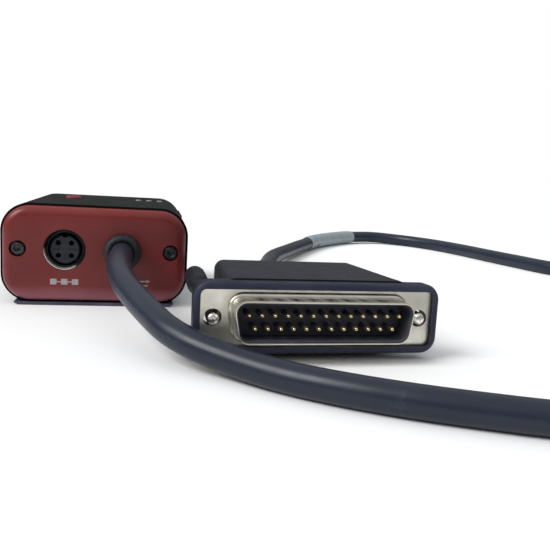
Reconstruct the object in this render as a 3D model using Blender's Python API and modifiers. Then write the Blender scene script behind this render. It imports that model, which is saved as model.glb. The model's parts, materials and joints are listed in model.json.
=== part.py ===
"""Compact laser scanner module: a rounded black housing with a red rear cover, a four-pole
Ethernet socket and a captive input/output lead that ends in a 25-pin plug.

All sizes are millimetres; meshes are scaled to metres when their objects are made.
+Z is up, the rear cover faces -Y and the scanning window faces +Y.  The origin is the
middle of the housing's base.
"""
import math

import bmesh
import bpy
from mathutils import Euler, Vector
from mathutils.geometry import interpolate_bezier

MM = 0.001
GAP = 0.3                # clearance kept between touching pieces

# Housing
WIDTH = 51.0
BODY_LOW = 0.5           # underside of the housing shell, above the base plate
BODY_TOP = 28.1
MID = (BODY_LOW + BODY_TOP) / 2
HEIGHT = BODY_TOP - BODY_LOW
HALF_LENGTH = 27.9
CORNER = 8.0             # radius of the housing's long edges
WALL = 1.8
COVER_FACE = -27.5       # rear face of the red cover
SHELL_REAR = -24.8
SHELL_FRONT = 23.6
SCREW_X = 20.6           # cover and bezel screws, either side of the middle
SOCKET_X = -8.3          # Ethernet socket
GLAND_X = 7.3            # cable gland
PORT_Z = 15.7

# Scanner drive
MIRROR_AXIS = (5.5, 6.5)
MIRROR_SWEEP = 9.2       # radius swept by the mirror's corners

# Button and lights on the top face
BUTTON = (-10.0, 10.0)
LIGHTS_X = (10.8, 14.2, 17.6)
LIGHTS_Y = 9.0

# Lead and 25-pin plug
CABLE_R = 3.1
MARKER_R = 3.65
PLUG_PLACE = (51.5, -78.1, 9.5)
PLUG_TILT = (-1.2, 0.0, 2.2)         # degrees about X, Y and Z
PIN_PITCH = 2.77
ROW_OFFSET = 1.42
JACK_X = 23.52
HOOD_DEPTH = 34.0
JACK_LIFT = (5.5, 0.0)   # degrees that the left and right jackscrews lean in their loose holes
JACK_PIVOT = 2.5         # depth at which a leaning jackscrew crosses its hole's middle

MODEL = "scanner_module"


# ---------------------------------------------------------------- scene and helpers
for old in list(bpy.data.objects):
    bpy.data.objects.remove(old)


def collection(name):
    made = bpy.data.collections.new(name)
    bpy.context.scene.collection.children.link(made)
    return made


PARTS = collection(MODEL)
CUTTERS = collection("cutters")


def finish(name, colour, roughness=0.5, metallic=0.0, alpha=1.0):
    made = bpy.data.materials.new(name)
    made.use_nodes = True
    shader = made.node_tree.nodes["Principled BSDF"]
    shader.inputs["Base Color"].default_value = (*colour, 1.0)
    shader.inputs["Roughness"].default_value = roughness
    shader.inputs["Metallic"].default_value = metallic
    shader.inputs["Alpha"].default_value = alpha
    return made


BLACK = finish("black_anodised", (0.018, 0.021, 0.020), 0.42, 0.3)
RED = finish("red_enamel", (0.125, 0.026, 0.032), 0.28)
RED_BUTTON = finish("red_rubber", (0.30, 0.03, 0.05), 0.45)
RUBBER = finish("seal_rubber", (0.02, 0.02, 0.02), 0.8)
STEEL = finish("blackened_steel", (0.05, 0.05, 0.05), 0.35, 1.0)
NICKEL = finish("nickel_plate", (0.55, 0.52, 0.46), 0.25, 1.0)
GOLD = finish("gold_plate", (0.70, 0.52, 0.20), 0.25, 1.0)
SLATE = finish("slate_moulding", (0.030, 0.040, 0.058), 0.45)
NYLON = finish("black_nylon", (0.015, 0.016, 0.020), 0.5)
JACKET = finish("cable_jacket", (0.030, 0.039, 0.060), 0.4)
LABEL = finish("marker_sleeve", (0.25, 0.30, 0.33), 0.5)
BOARD = finish("circuit_board", (0.02, 0.12, 0.05), 0.5)
ALLOY = finish("cast_alloy", (0.35, 0.36, 0.37), 0.4, 0.9)
MIRROR = finish("mirror_coat", (0.85, 0.86, 0.88), 0.05, 1.0)
GLASS = finish("lens_glass", (0.80, 0.88, 0.95), 0.05, 0.0, 0.4)
FILTER = finish("dark_filter", (0.06, 0.005, 0.01), 0.08, 0.0, 0.7)
CLEAR = finish("light_guide", (0.8, 0.85, 0.8), 0.2, 0.0, 0.6)

# Turns that lay a piece's own height along an axis of the model
AXES = {
    "X": Euler((0, math.radians(90), 0)),
    "Y": Euler((math.radians(-90), 0, 0)),
    "-Y": Euler((math.radians(90), 0, 0)),
    "Z": Euler(),
}


def block(size, centre):
    """A box as a bmesh, with its size and its centre in millimetres."""
    bm = bmesh.new()
    bmesh.ops.create_cube(bm, size=1.0)
    bmesh.ops.scale(bm, vec=size, verts=bm.verts)
    bmesh.ops.translate(bm, vec=centre, verts=bm.verts)
    return bm


def rounded(size, centre, radius, axis="Y", segments=6):
    """A box whose four edges along one axis are rounded."""
    bm = block(size, centre)
    index = "XYZ".index(axis)
    edges = [e for e in bm.edges if abs((e.verts[0].co - e.verts[1].co)[index]) > 0.9 * size[index]]
    bmesh.ops.bevel(bm, geom=edges, offset=radius, segments=segments, profile=0.5, affect="EDGES")
    return bm


def bar(radius, low, high, centre, axis="Y", sides=32, end_radius=None):
    """A round bar or cone from low to high along an axis; centre gives its other two coordinates."""
    bm = bmesh.new()
    far = radius if end_radius is None else end_radius
    bmesh.ops.create_cone(
        bm, cap_ends=True, segments=sides, radius1=radius, radius2=far, depth=high - low
    )
    bmesh.ops.rotate(bm, matrix=AXES[axis].to_matrix(), verts=bm.verts)
    place = Vector(centre)
    place["XYZ".index(axis)] = (low + high) / 2
    bmesh.ops.translate(bm, vec=place, verts=bm.verts)
    return bm


def slab(outline, low, high):
    """A flat outline of (x, z) points given thickness along Y."""
    bm = bmesh.new()
    corners = [bm.verts.new((x, low, z)) for x, z in outline]
    face = bm.faces.new(corners)
    grown = bmesh.ops.extrude_face_region(bm, geom=[face])
    moved = [v for v in grown["geom"] if isinstance(v, bmesh.types.BMVert)]
    bmesh.ops.translate(bm, vec=(0, high - low, 0), verts=moved)
    bmesh.ops.recalc_face_normals(bm, faces=bm.faces)
    return bm


def together(*shapes):
    """Several bmeshes in one, without joining them."""
    mesh = bpy.data.meshes.new("shapes")
    whole = bmesh.new()
    for bm in shapes:
        bm.to_mesh(mesh)
        bm.free()
        whole.from_mesh(mesh)
    bpy.data.meshes.remove(mesh)
    return whole


def mesh_object(name, bm, group, parent=None):
    bmesh.ops.scale(bm, vec=(MM, MM, MM), verts=bm.verts)
    mesh = bpy.data.meshes.new(name)
    bm.to_mesh(mesh)
    bm.free()
    made = bpy.data.objects.new(name, mesh)
    group.objects.link(made)
    made.parent = parent
    return made


def piece(name, bm, material, parent=None, smooth=True):
    """A finished sub-part from a bmesh."""
    made = mesh_object(name, bm, PARTS, parent)
    made.data.materials.append(material)
    if smooth:
        made.data.shade_smooth()
        made.data.set_sharp_from_angle(angle=math.radians(35))
    return made


def boolean(target, bm, operation):
    cutter = mesh_object(f"{target.name}_{operation.lower()}", bm, CUTTERS, target.parent)
    cutter.hide_render = True
    cutter.display_type = "WIRE"
    step = target.modifiers.new(operation.title(), "BOOLEAN")
    step.operation = operation
    step.solver = "EXACT"
    step.object = cutter


def cut(target, *shapes):
    for bm in shapes:
        boolean(target, bm, "DIFFERENCE")


def join(target, *shapes):
    for bm in shapes:
        boolean(target, bm, "UNION")


def turned(name, profile, material, centre, axis="Y", parent=None, steps=32):
    """A turned piece: the profile is (radius, height) points down its outer side.

    Height runs along the axis; a ring's profile closes on itself, a solid's ends on the axis.
    """
    mesh = bpy.data.meshes.new(name)
    ring = profile[0][0] > 0
    points = [(r * MM, 0.0, h * MM) for r, h in profile]
    edges = [(i, i + 1) for i in range(len(points) - 1)]
    if ring:
        edges.append((len(points) - 1, 0))
    mesh.from_pydata(points, edges, [])
    mesh.materials.append(material)
    made = bpy.data.objects.new(name, mesh)
    PARTS.objects.link(made)
    made.parent = parent
    made.location = Vector(centre) * MM
    made.rotation_euler = AXES[axis]
    screw = made.modifiers.new("Turn", "SCREW")
    screw.steps = screw.render_steps = steps
    screw.use_merge_vertices = True
    screw.merge_threshold = 0.00001
    screw.use_smooth_shade = True
    return made


def ring_profile(outer, inner, top, bottom):
    return [(outer, top), (outer, bottom), (inner, bottom), (inner, top)]


def empty(name, place, turn=(0, 0, 0), parent=None):
    made = bpy.data.objects.new(name, None)
    made.location = Vector(place) * MM
    made.rotation_euler = Euler([math.radians(a) for a in turn])
    made.parent = parent
    PARTS.objects.link(made)
    return made


# ---------------------------------------------------------------- housing
def housing_shell():
    length = SHELL_FRONT - SHELL_REAR
    middle = (SHELL_FRONT + SHELL_REAR) / 2
    shell = piece("housing_shell", rounded((WIDTH, length, HEIGHT), (0, middle, MID), CORNER), BLACK)
    bore = (WIDTH - 2 * WALL, length + 4, HEIGHT - 2 * WALL)
    cut(shell, rounded(bore, (0, middle, MID), CORNER - WALL))
    # seat of the rear cover and its gasket
    cut(shell, rounded((WIDTH - 0.8, 8.6, HEIGHT - 0.8), (0, -26.6, MID), CORNER - 0.4))
    for side in (-1, 1):
        wall_x = side * (WIDTH / 2 - 4.3)
        bosses = ((-21.9, -14.0, PORT_Z), (15.0, SHELL_FRONT - 0.4, MID))
        for low, high, z in bosses:
            join(shell, block((6.2, high - low, 5.2), (wall_x, (low + high) / 2, z)))
            cut(shell, bar(1.5, low - 1, high + 1, (side * SCREW_X, 0, z), sides=16))
        # slots that carry the main board and the indicator board
        for low, high in ((4.6, 5.9), (7.7, 8.7), (21.2, 22.4), (24.0, 25.0)):
            rail_x = side * (WIDTH / 2 - 2.9)
            join(shell, block((3.4, 22.0, high - low), (rail_x, 2.0, (low + high) / 2)))
    for y in (-15.0, 15.0):
        join(shell, block((8.0, 8.0, 3.4), (0, y, 3.6)))
        cut(shell, bar(1.25, 0.0, 4.5, (0, y, 0), "Z", 16))
    for side in (-1, 1):
        cut(shell, bar(1.35, 0.0, 4.0, (side * 14.0, 0, 0), "Z", 16))
    cut(shell, rounded((5.6, 9.0, 6.0), (*BUTTON, BODY_TOP), 2.7, "Z", 5))
    for x in LIGHTS_X:
        cut(shell, bar(1.3, BODY_TOP - 3, BODY_TOP + 1, (x, LIGHTS_Y, 0), "Z", 16))


def rear_cover():
    bm = rounded((WIDTH - 1.2, 3.8, HEIGHT - 1.2), (0, COVER_FACE + 1.9, MID), CORNER - 0.6)
    cover = piece("rear_cover", bm, RED)
    cover.data.attributes.new("bevel_weight_edge", "FLOAT", "EDGE")
    weights = cover.data.attributes["bevel_weight_edge"].data
    for edge in cover.data.edges:
        ends = [cover.data.vertices[i].co.y for i in edge.vertices]
        weights[edge.index].value = 1.0 if max(ends) < COVER_FACE * MM + 1e-6 else 0.0
    soften = cover.modifiers.new("Soft edge", "BEVEL")
    soften.width = 2.6 * MM
    soften.segments = 3
    soften.limit_method = "WEIGHT"
    for side in (-1, 1):
        place = (side * SCREW_X, 0, PORT_Z)
        cut(cover, bar(2.2, COVER_FACE - 1, COVER_FACE + 1.9, place, sides=24))
        cut(cover, bar(1.45, COVER_FACE - 1, COVER_FACE + 5, place, sides=16))
    cut(cover, bar(6.0, COVER_FACE - 1, COVER_FACE + 5, (SOCKET_X, 0, PORT_Z)))
    cut(cover, bar(4.6, COVER_FACE - 1, COVER_FACE + 5, (GLAND_X, 0, PORT_Z)))

    seat = COVER_FACE + 4.1
    gasket = rounded((WIDTH - 1.2, 0.8, HEIGHT - 1.2), (0, seat + 0.4, MID), CORNER - 0.6)
    gasket = piece("rear_gasket", gasket, RUBBER)
    cut(gasket, rounded((WIDTH - 3.4, 3, HEIGHT - 3.4), (0, seat + 0.4, MID), CORNER - 1.7))


def socket_screw(name, x, z, face, inward):
    """A cap screw with a socket, its head towards -inward."""
    head = bar(1.85, *sorted((face, face + inward * 1.5)), (x, 0, z), sides=20)
    screw = piece(name, head, STEEL)
    join(screw, bar(1.15, *sorted((face + inward, face + inward * 9.0)), (x, 0, z), sides=12))
    cut(screw, bar(0.95, *sorted((face - inward, face + inward * 0.9)), (x, 0, z), sides=6))


def front_bezel():
    low = SHELL_FRONT + GAP
    size = (WIDTH, HALF_LENGTH - low, HEIGHT)
    middle = (low + HALF_LENGTH) / 2
    bezel = piece("front_bezel", rounded(size, (0, middle, MID), CORNER), BLACK)
    cut(bezel, rounded((32.0, 9.0, 15.0), (0, middle, MID), 3.0, segments=4))
    cut(bezel, rounded((35.4, 4.0, 18.8), (0, HALF_LENGTH - 3.6, MID), 3.6, segments=4))
    for side in (-1, 1):
        cut(bezel, bar(1.45, low - 1, HALF_LENGTH + 1, (side * SCREW_X, 0, MID), sides=16))
        cut(bezel, bar(2.2, HALF_LENGTH - 1.9, HALF_LENGTH + 1, (side * SCREW_X, 0, MID), sides=24))
    glass = HALF_LENGTH - 4.0
    pane = rounded((34.8, 1.5, 18.2), (0, glass + 0.75, MID), 3.3, segments=4)
    piece("front_window", pane, FILTER)
    seal = rounded((34.8, 0.4, 18.2), (0, glass + 1.95, MID), 3.3, segments=4)
    seal = piece("window_seal", seal, RUBBER)
    cut(seal, rounded((32.4, 2.0, 15.4), (0, glass + 1.95, MID), 3.0, segments=4))


def base_plate():
    half = [(20.3, 0.0), (21.7, 0.6), (21.7, 0.95), (21.2, 0.95), (20.0, 0.35)]
    channel = half + [(-x, z) for x, z in reversed(half)]
    plate = piece("base_plate", slab(channel, -27.0, 24.0), BLACK)
    for y in (-15.0, 15.0):
        cut(plate, bar(1.7, -1, 2, (0, y, 0), "Z", 20))
    for name, side in (("left", -1), ("right", 1)):
        x = side * 14.0
        cut(plate, bar(2.1, -0.01, 0.36, (x, 0, 0), "Z", 20, 1.75))
        screw = bar(1.75, 0.03, 0.4, (x, 0, 0), "Z", 20, 1.35)
        screw = piece(f"base_screw_{name}", screw, STEEL)
        join(screw, bar(1.0, 0.2, 2.4, (x, 0, 0), "Z", 12))
        cut(screw, bar(0.55, -1, 0.3, (x, 0, 0), "Z", 6))


def button_and_lights():
    travel = empty("button_axis", (*BUTTON, BODY_TOP))
    cap = rounded((5.0, 8.4, 3.0), (0, 0, -0.7), 2.45, "Z", 5)
    cap = piece("teach_button", cap, RED_BUTTON, travel)
    join(cap, rounded((6.8, 10.2, 0.6), (0, 0, -2.4), 3.3, "Z", 5))
    piece("switch_plunger", bar(1.1, -3.7, -3.0, (0, 0, 0), "Z", 16), NYLON, travel)
    switch = piece("switch_body", block((6.0, 6.0, 0.7), (*BUTTON, 24.35)), NYLON)
    cut(switch, bar(1.4, 23.0, 26.0, (*BUTTON, 0), "Z", 16))
    middle = (LIGHTS_X[1], LIGHTS_Y, 25.6)
    guide = piece("light_guide", block((9.0, 2.4, 0.9), middle), CLEAR)
    for x in LIGHTS_X:
        join(guide, bar(1.0, 25.4, BODY_TOP + 0.2, (x, LIGHTS_Y, 0), "Z", 16))
    piece("status_leds", block((8.6, 1.6, 0.6), (LIGHTS_X[1], LIGHTS_Y, 24.4)), CLEAR)
    piece("indicator_board", block((43.0, 20.0, 1.0), (0, 2.5, 23.2)), BOARD)


# ---------------------------------------------------------------- ports in the rear cover
def ethernet_port():
    x, z = SOCKET_X, PORT_Z
    rear = HALF_LENGTH
    barrel = [(5.7, rear), (5.7, 15.0), (4.4, 15.0), (4.4, 19.0), (5.2, 19.0), (5.2, rear)]
    turned("ethernet_shell", barrel, NICKEL, (x, 0, z), "-Y")
    insert = piece("ethernet_insert", bar(4.0, -26.2, -14.6, (x, 0, z)), NYLON)
    corners = [(x + i * 1.77, z + k * 1.77) for i in (-1, 1) for k in (-1, 1)]
    for px, pz in corners:
        cut(insert, bar(0.75, -30, -10, (px, 0, pz), sides=12))
    cut(insert, block((1.3, 8.0, 1.6), (x, -26.0, z + 4.0)))
    contacts = piece("ethernet_contacts", block((6.0, 0.8, 6.0), (x, -13.7, z)), GOLD)
    join(contacts, together(*[bar(0.42, -24.0, -13.6, (px, 0, pz), sides=8) for px, pz in corners]))
    ring = ring_profile(7.4, 6.1, 23.4, 22.9)
    turned("ethernet_washer", ring, RUBBER, (x, 0, z), "-Y")
    nut = piece("ethernet_nut", bar(7.9, -22.6, -20.0, (x, 0, z), sides=6), NICKEL, smooth=False)
    cut(nut, bar(6.0, -25, -15, (x, 0, z), sides=24))


def cable_gland():
    x, z = GLAND_X, PORT_Z
    face = -COVER_FACE + GAP
    nose = [(3.4, 31.3), (3.9, 31.5), (4.5, 31.2), (4.9, 30.5), (5.1, 29.4), (5.1, face)]
    neck = [(4.2, face), (4.2, 19.6), (3.4, 19.6)]
    turned("gland_body", nose + neck, SLATE, (x, 0, z), "-Y")
    nut = piece("gland_nut", bar(6.4, -23.2, -20.6, (x, 0, z), sides=6), NYLON, smooth=False)
    cut(nut, bar(4.5, -25, -15, (x, 0, z), sides=24))
    piece("conductor_bundle", bar(2.2, -22.4, -16.2, (x, 0, z), sides=12), JACKET)
    piece("cable_header", block((12.0, 2.8, 7.0), (x, -14.5, z)), NYLON)


# ---------------------------------------------------------------- electronics
def boards():
    piece("interface_board", block((42.0, 1.6, 19.3), (0, -12.0, 15.4)), BOARD)
    piece("main_board", block((43.0, 32.0, 1.2), (0, 5.5, 6.8)), BOARD)
    piece("board_header", block((20.0, 4.0, 4.6), (0, -8.9, 10.0)), NYLON)
    piece("processor_chip", block((12.0, 12.0, 1.0), (-9.5, 8.0, 8.2)), NYLON)


# ---------------------------------------------------------------- optics
def optics():
    ax, ay = MIRROR_AXIS
    frame = piece("optics_frame", block((34.8, 27.0, 1.5), (0, 7.0, 10.95)), ALLOY)
    join(frame, block((1.5, 23.0, 10.4), (-16.65, 5.0, 16.2)))
    for x, y in ((-16.4, -5.5), (16.4, -5.5), (-16.4, 19.5), (16.4, 19.5)):
        join(frame, bar(1.0, 7.7, 10.8, (x, y, 0), "Z", 12))
    cut(frame, bar(8.4, 9.0, 13.0, (ax, ay, 0), "Z"))
    cut(frame, bar(3.1, -20, -10, (0, 3.2, 17.0), "X", 24))
    cut(frame, bar(2.7, -20, -10, (0, 12.6, 17.5), "X", 24))

    can = [(8.0, 12.2), (8.0, 7.9), (3.0, 7.9), (3.0, 12.2)]
    turned("motor_stator", can, STEEL, (ax, ay, 0), "Z")
    turned("motor_bearing", ring_profile(2.7, 1.5, 12.0, 9.0), NICKEL, (ax, ay, 0), "Z")
    piece("encoder_sensor", block((2.0, 3.0, 0.6), (ax - 9.6, ay, 12.3)), NYLON)

    spin = empty("mirror_axis", (ax, ay, 0))
    piece("rotor_shaft", bar(1.2, 8.4, 22.2, (0, 0, 0), "Z", 16), STEEL, spin)
    side = 1.55 * MIRROR_SWEEP
    mirror = rounded((side, side, 7.5), (0, 0, 17.65), 1.6, "Z", 1)
    mirror = piece("scan_mirror", mirror, MIRROR, spin, smooth=False)
    cut(mirror, bar(1.5, 13, 23, (0, 0, 0), "Z", 16))
    turned("mirror_clamp", ring_profile(4.2, 1.5, 22.2, 21.7), ALLOY, (0, 0, 0), "Z", spin, 24)
    turned("encoder_disc", ring_profile(10.6, 1.5, 13.3, 12.9), NICKEL, (0, 0, 0), "Z", spin)

    turned("laser_barrel", ring_profile(3.2, 2.85, -8.6, -15.5), STEEL, (0, 12.6, 17.5), "X")
    piece("laser_diode", bar(2.4, -17.7, -13.2, (0, 12.6, 17.5), "X", 20), GOLD)
    piece("collimator_lens", bar(2.5, -10.9, -9.4, (0, 12.6, 17.5), "X", 20), GLASS)
    turned("receiver_barrel", ring_profile(5.0, 4.6, -5.9, -15.5), STEEL, (0, 3.2, 17.0), "X")
    dome = [(0, -6.3), (1.6, -6.5), (3.0, -6.9), (4.25, -7.6), (4.25, -8.4), (0, -8.8)]
    turned("receiver_lens", dome, GLASS, (0, 3.2, 17.0), "X")
    piece("photo_detector", bar(2.6, -17.7, -14.4, (0, 3.2, 17.0), "X", 20), NYLON)
    piece("detector_board", block((1.0, 19.0, 9.6), (-18.5, 4.9, 16.7)), BOARD)


# ---------------------------------------------------------------- 25-pin plug
def dee(half_width, half_height, radius, low, high):
    """The connector's D outline, wide at the top, as a solid from low to high along Y."""
    narrow = 2 * half_height * math.tan(math.radians(10))
    corners = [
        (half_width, half_height), (-half_width, half_height),
        (narrow - half_width, -half_height), (half_width - narrow, -half_height),
    ]
    bm = slab(corners, low, high)
    long_edges = [e for e in bm.edges if abs(e.verts[0].co.y - e.verts[1].co.y) > 0.5 * (high - low)]
    bmesh.ops.bevel(bm, geom=long_edges, offset=radius, segments=4, profile=0.5, affect="EDGES")
    return bm


def plug(place):
    flange = rounded((53.04, 0.8, 12.6), (0, 0.4, 0), 1.0, segments=2)
    shell = piece("plug_shell", flange, NICKEL, place)
    join(shell, dee(20.2, 4.58, 2.5, -6.0, 0.5))
    cut(shell, dee(19.8, 4.18, 2.1, -7.0, 2.0))
    for side in (-1, 1):
        cut(shell, bar(1.95, -2, 3, (side * JACK_X, 0, 0), sides=20))

    pins = [((i - 6) * PIN_PITCH, ROW_OFFSET) for i in range(13)]
    pins += [((i - 5.5) * PIN_PITCH, -ROW_OFFSET) for i in range(12)]
    body = piece("plug_insulator", dee(19.45, 3.85, 1.8, -0.4, 8.0), NYLON, place)
    cut(body, together(*[bar(0.8, -2, 9, (x, 0, z), sides=8) for x, z in pins]))
    carrier = piece("plug_pins", block((35.5, 0.8, 4.6), (0, 8.9, 0)), GOLD, place)
    join(carrier, together(*[bar(0.5, -5.3, 8.6, (x, 0, z), sides=8) for x, z in pins]))


def plug_hood(place):
    hood = piece("plug_hood", rounded((55.6, 4.4, 15.9), (0, 1.0, 0), 3.6, segments=5), SLATE, place)
    half_front, half_rear, high = 20.8, 19.0, 15.8
    taper = rounded((2 * half_front, HOOD_DEPTH - 1.0, high), (0, HOOD_DEPTH / 2 + 0.5, 0.4), 2.0)
    for vert in taper.verts:
        depth = (vert.co.y - 3.2) / (HOOD_DEPTH - 3.2)
        vert.co.x *= 1.0 + (half_rear / half_front - 1.0) * max(0.0, depth)
    join(hood, taper)
    cut(hood, rounded((52.6, 4.0, 12.3), (0, -1.5, 0), 1.3, segments=3))
    cut(hood, rounded((53.7, 1.4, 13.3), (0, 0.4, 0), 1.3, segments=2))
    cut(hood, rounded((39.5, 9.8, 10.4), (0, 4.9, 0), 2.0, segments=2))
    for side in (-1, 1):
        cut(hood, bar(1.85, 0.5, 6.0, (side * JACK_X, 0, 0), sides=16))
    rear = HOOD_DEPTH + GAP
    boot = [(3.4, -rear), (5.4, -rear), (5.0, -rear - 6), (4.2, -rear - 14), (3.4, -rear - 14)]
    turned("plug_boot", boot, SLATE, (0, 0, 0), "-Y", place, 24)


def jackscrew(name, x, lift, place):
    """A captive jackscrew; its empty lies on its axis, and its retainer slides with it."""
    line = empty(f"{name}_axis", (x, JACK_PIVOT, 0), (lift, 0, 0), place)
    foot = (0, -JACK_PIVOT, 0)
    shank = [(0, 1.1), (0.9, 0.9), (1.4, 0.2), (1.4, -9.0)]
    grip = [(1.9, -9.0), (1.9, -24.5), (2.8, -27.0), (2.8, -36.6), (2.2, -38.1), (0, -38.4)]
    turned(name, shank + grip, SLATE, foot, "-Y", line, 24)
    clip = name.replace("jackscrew", "retainer")
    turned(clip, ring_profile(2.4, 1.7, -8.1, -8.7), STEEL, foot, "-Y", line, 20)


# ---------------------------------------------------------------- lead
# The lead's centre line: out of the gland, down to the surface, past the plug's corner, round
# a wide loop and back to the plug, whose own axis its last points follow.
LEAD_ROUTE = [
    (7.3, -23.0, 15.7), (7.3, -31.5, 15.7), (7.1, -38.0, 15.4), (7.2, -47.0, 14.3),
    (8.7, -56.0, 12.6), (11.7, -65.0, 10.6), (15.4, -73.2, 8.5), (18.7, -79.5, 6.9),
    (23.2, -84.7, 5.4), (30.0, -90.4, 4.0), (39.6, -99.0, 3.2), (49.4, -106.3, 3.15),
    (59.0, -111.9, 3.15), (70.5, -117.2, 3.15), (86.0, -123.2, 3.15), (119.0, -133.5, 3.15),
    (158.0, -140.5, 3.15), (200.0, -138.0, 3.15), (240.0, -122.0, 3.15), (269.0, -91.0, 3.15),
    (281.0, -49.0, 3.15), (272.0, -9.0, 3.15), (247.0, 18.0, 3.15), (217.5, 34.0, 3.15),
    (199.0, 54.0, 3.15), (192.5, 76.0, 3.15), (187.5, 97.0, 3.15), (182.5, 119.0, 3.15),
    (174.5, 140.0, 3.15), (161.5, 155.5, 3.3), (147.5, 161.0, 3.75), (133.0, 156.5, 3.8),
    (117.5, 143.5, 3.8), (103.5, 127.0, 3.8), (90.0, 103.5, 3.8), (77.5, 78.5, 4.0),
    (64.8, 48.0, 5.0), (56.6, 16.0, 6.3),
]
LEAD_ENDS = (63.0, 50.0, 36.0)   # depths behind the plug's flange where it runs straight in
MARKER_SPAN = (0.75, 0.815)      # the marker sleeve's stretch, as shares of the lead's length
LEAD_STEP = 13.0


def smooth_line(route, step):
    """Points about a step apart on a smooth curve through a route's points."""
    pts = [Vector(p) for p in route]
    slopes = []
    for i, here in enumerate(pts):
        back = here - pts[i - 1] if i else pts[1] - here
        ahead = pts[i + 1] - here if i + 1 < len(pts) else back
        a, b = back.length, ahead.length
        slopes.append((back * (b / a) + ahead * (a / b)) / (a + b))
    fine = [pts[0]]
    for p, q, m, n in zip(pts, pts[1:], slopes, slopes[1:]):
        third = (q - p).length / 3
        fine += interpolate_bezier(p, p + m * third, q - n * third, q, 25)[1:]
    lengths = [0.0]
    for p, q in zip(fine, fine[1:]):
        lengths.append(lengths[-1] + (q - p).length)
    count = round(lengths[-1] / step)
    line, k = [], 0
    for i in range(count + 1):
        want = lengths[-1] * i / count
        while k < len(fine) - 2 and lengths[k + 1] < want:
            k += 1
        line.append(fine[k].lerp(fine[k + 1], (want - lengths[k]) / (lengths[k + 1] - lengths[k])))
    return line


def tube(name, line, radius, material, capped=True):
    curve = bpy.data.curves.new(name, "CURVE")
    curve.dimensions = "3D"
    curve.bevel_depth = radius * MM
    curve.bevel_resolution = 2
    curve.use_fill_caps = capped
    spline = curve.splines.new("POLY")
    spline.points.add(len(line) - 1)
    for point, place in zip(spline.points, line):
        point.co = (*(place * MM), 1.0)
    curve.materials.append(material)
    made = bpy.data.objects.new(name, curve)
    PARTS.objects.link(made)
    return made


def lead():
    turn = Euler([math.radians(a) for a in PLUG_TILT]).to_matrix()
    ends = [Vector(PLUG_PLACE) + turn @ Vector((0, depth, 0)) for depth in LEAD_ENDS]
    route = LEAD_ROUTE + [tuple(p) for p in ends]
    line = smooth_line(route, LEAD_STEP)
    tube("io_cable", line, CABLE_R, JACKET)

    low, high = (round(share * len(line)) for share in MARKER_SPAN)
    open_tube = tube("cable_marker", line[low:high + 1], MARKER_R, LABEL, capped=False)
    bpy.context.view_layer.update()
    evaluated = open_tube.evaluated_get(bpy.context.evaluated_depsgraph_get())
    mesh = bpy.data.meshes.new_from_object(evaluated)
    bpy.data.objects.remove(open_tube)
    sleeve = bpy.data.objects.new("cable_marker", mesh)
    PARTS.objects.link(sleeve)
    wall = sleeve.modifiers.new("Wall", "SOLIDIFY")
    wall.thickness = (MARKER_R - CABLE_R - GAP) * MM
    wall.offset = -1.0


# ---------------------------------------------------------------- assembly
housing_shell()
rear_cover()
front_bezel()
base_plate()
for side_name, side in (("left", -1), ("right", 1)):
    socket_screw(f"rear_screw_{side_name}", side * SCREW_X, PORT_Z, COVER_FACE + 0.1, 1)
    socket_screw(f"front_screw_{side_name}", side * SCREW_X, MID, HALF_LENGTH - 0.1, -1)
button_and_lights()
ethernet_port()
cable_gland()
boards()
optics()

plug_place = empty("plug_place", PLUG_PLACE, PLUG_TILT)
plug(plug_place)
plug_hood(plug_place)
for side_name, side, lift in (("left", -1, JACK_LIFT[0]), ("right", 1, JACK_LIFT[1])):
    jackscrew(f"jackscrew_{side_name}", side * JACK_X, lift, plug_place)
lead()
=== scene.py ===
import json
import math

import bmesh
import bpy
from mathutils import Euler, Matrix, Vector
from mathutils.geometry import interpolate_bezier

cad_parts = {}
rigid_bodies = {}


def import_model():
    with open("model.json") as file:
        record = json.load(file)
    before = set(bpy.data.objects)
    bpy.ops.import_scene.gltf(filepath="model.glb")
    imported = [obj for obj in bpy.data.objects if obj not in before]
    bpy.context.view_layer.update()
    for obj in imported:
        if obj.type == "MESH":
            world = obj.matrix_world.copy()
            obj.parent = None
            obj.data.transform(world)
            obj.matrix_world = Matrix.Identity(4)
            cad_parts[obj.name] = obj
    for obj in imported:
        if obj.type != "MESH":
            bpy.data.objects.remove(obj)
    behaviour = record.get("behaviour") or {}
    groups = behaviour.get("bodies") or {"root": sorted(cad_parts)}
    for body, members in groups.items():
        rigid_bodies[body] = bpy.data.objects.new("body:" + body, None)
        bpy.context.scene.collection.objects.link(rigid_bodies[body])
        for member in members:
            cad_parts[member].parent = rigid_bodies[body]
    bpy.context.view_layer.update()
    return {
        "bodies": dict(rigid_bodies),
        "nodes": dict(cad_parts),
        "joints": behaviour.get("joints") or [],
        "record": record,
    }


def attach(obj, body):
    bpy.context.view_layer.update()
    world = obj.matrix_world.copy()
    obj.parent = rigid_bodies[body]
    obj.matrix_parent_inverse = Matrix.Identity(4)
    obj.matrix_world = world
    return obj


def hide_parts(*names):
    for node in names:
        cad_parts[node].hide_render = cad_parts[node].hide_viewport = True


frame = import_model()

scene = bpy.context.scene


# ---------------------------------------------------------------- table, lights and camera
# A plain pale table top and a pale studio.  A wide soft sun above and to the left throws soft
# shadows to the right; the sky is brightest overhead and dim at the horizon, so that black
# pieces stay black.  A white dome, which only the camera sees, closes the view.
def set_inputs(node, values):
    for socket, value in values.items():
        node.inputs[socket].default_value = value


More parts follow.
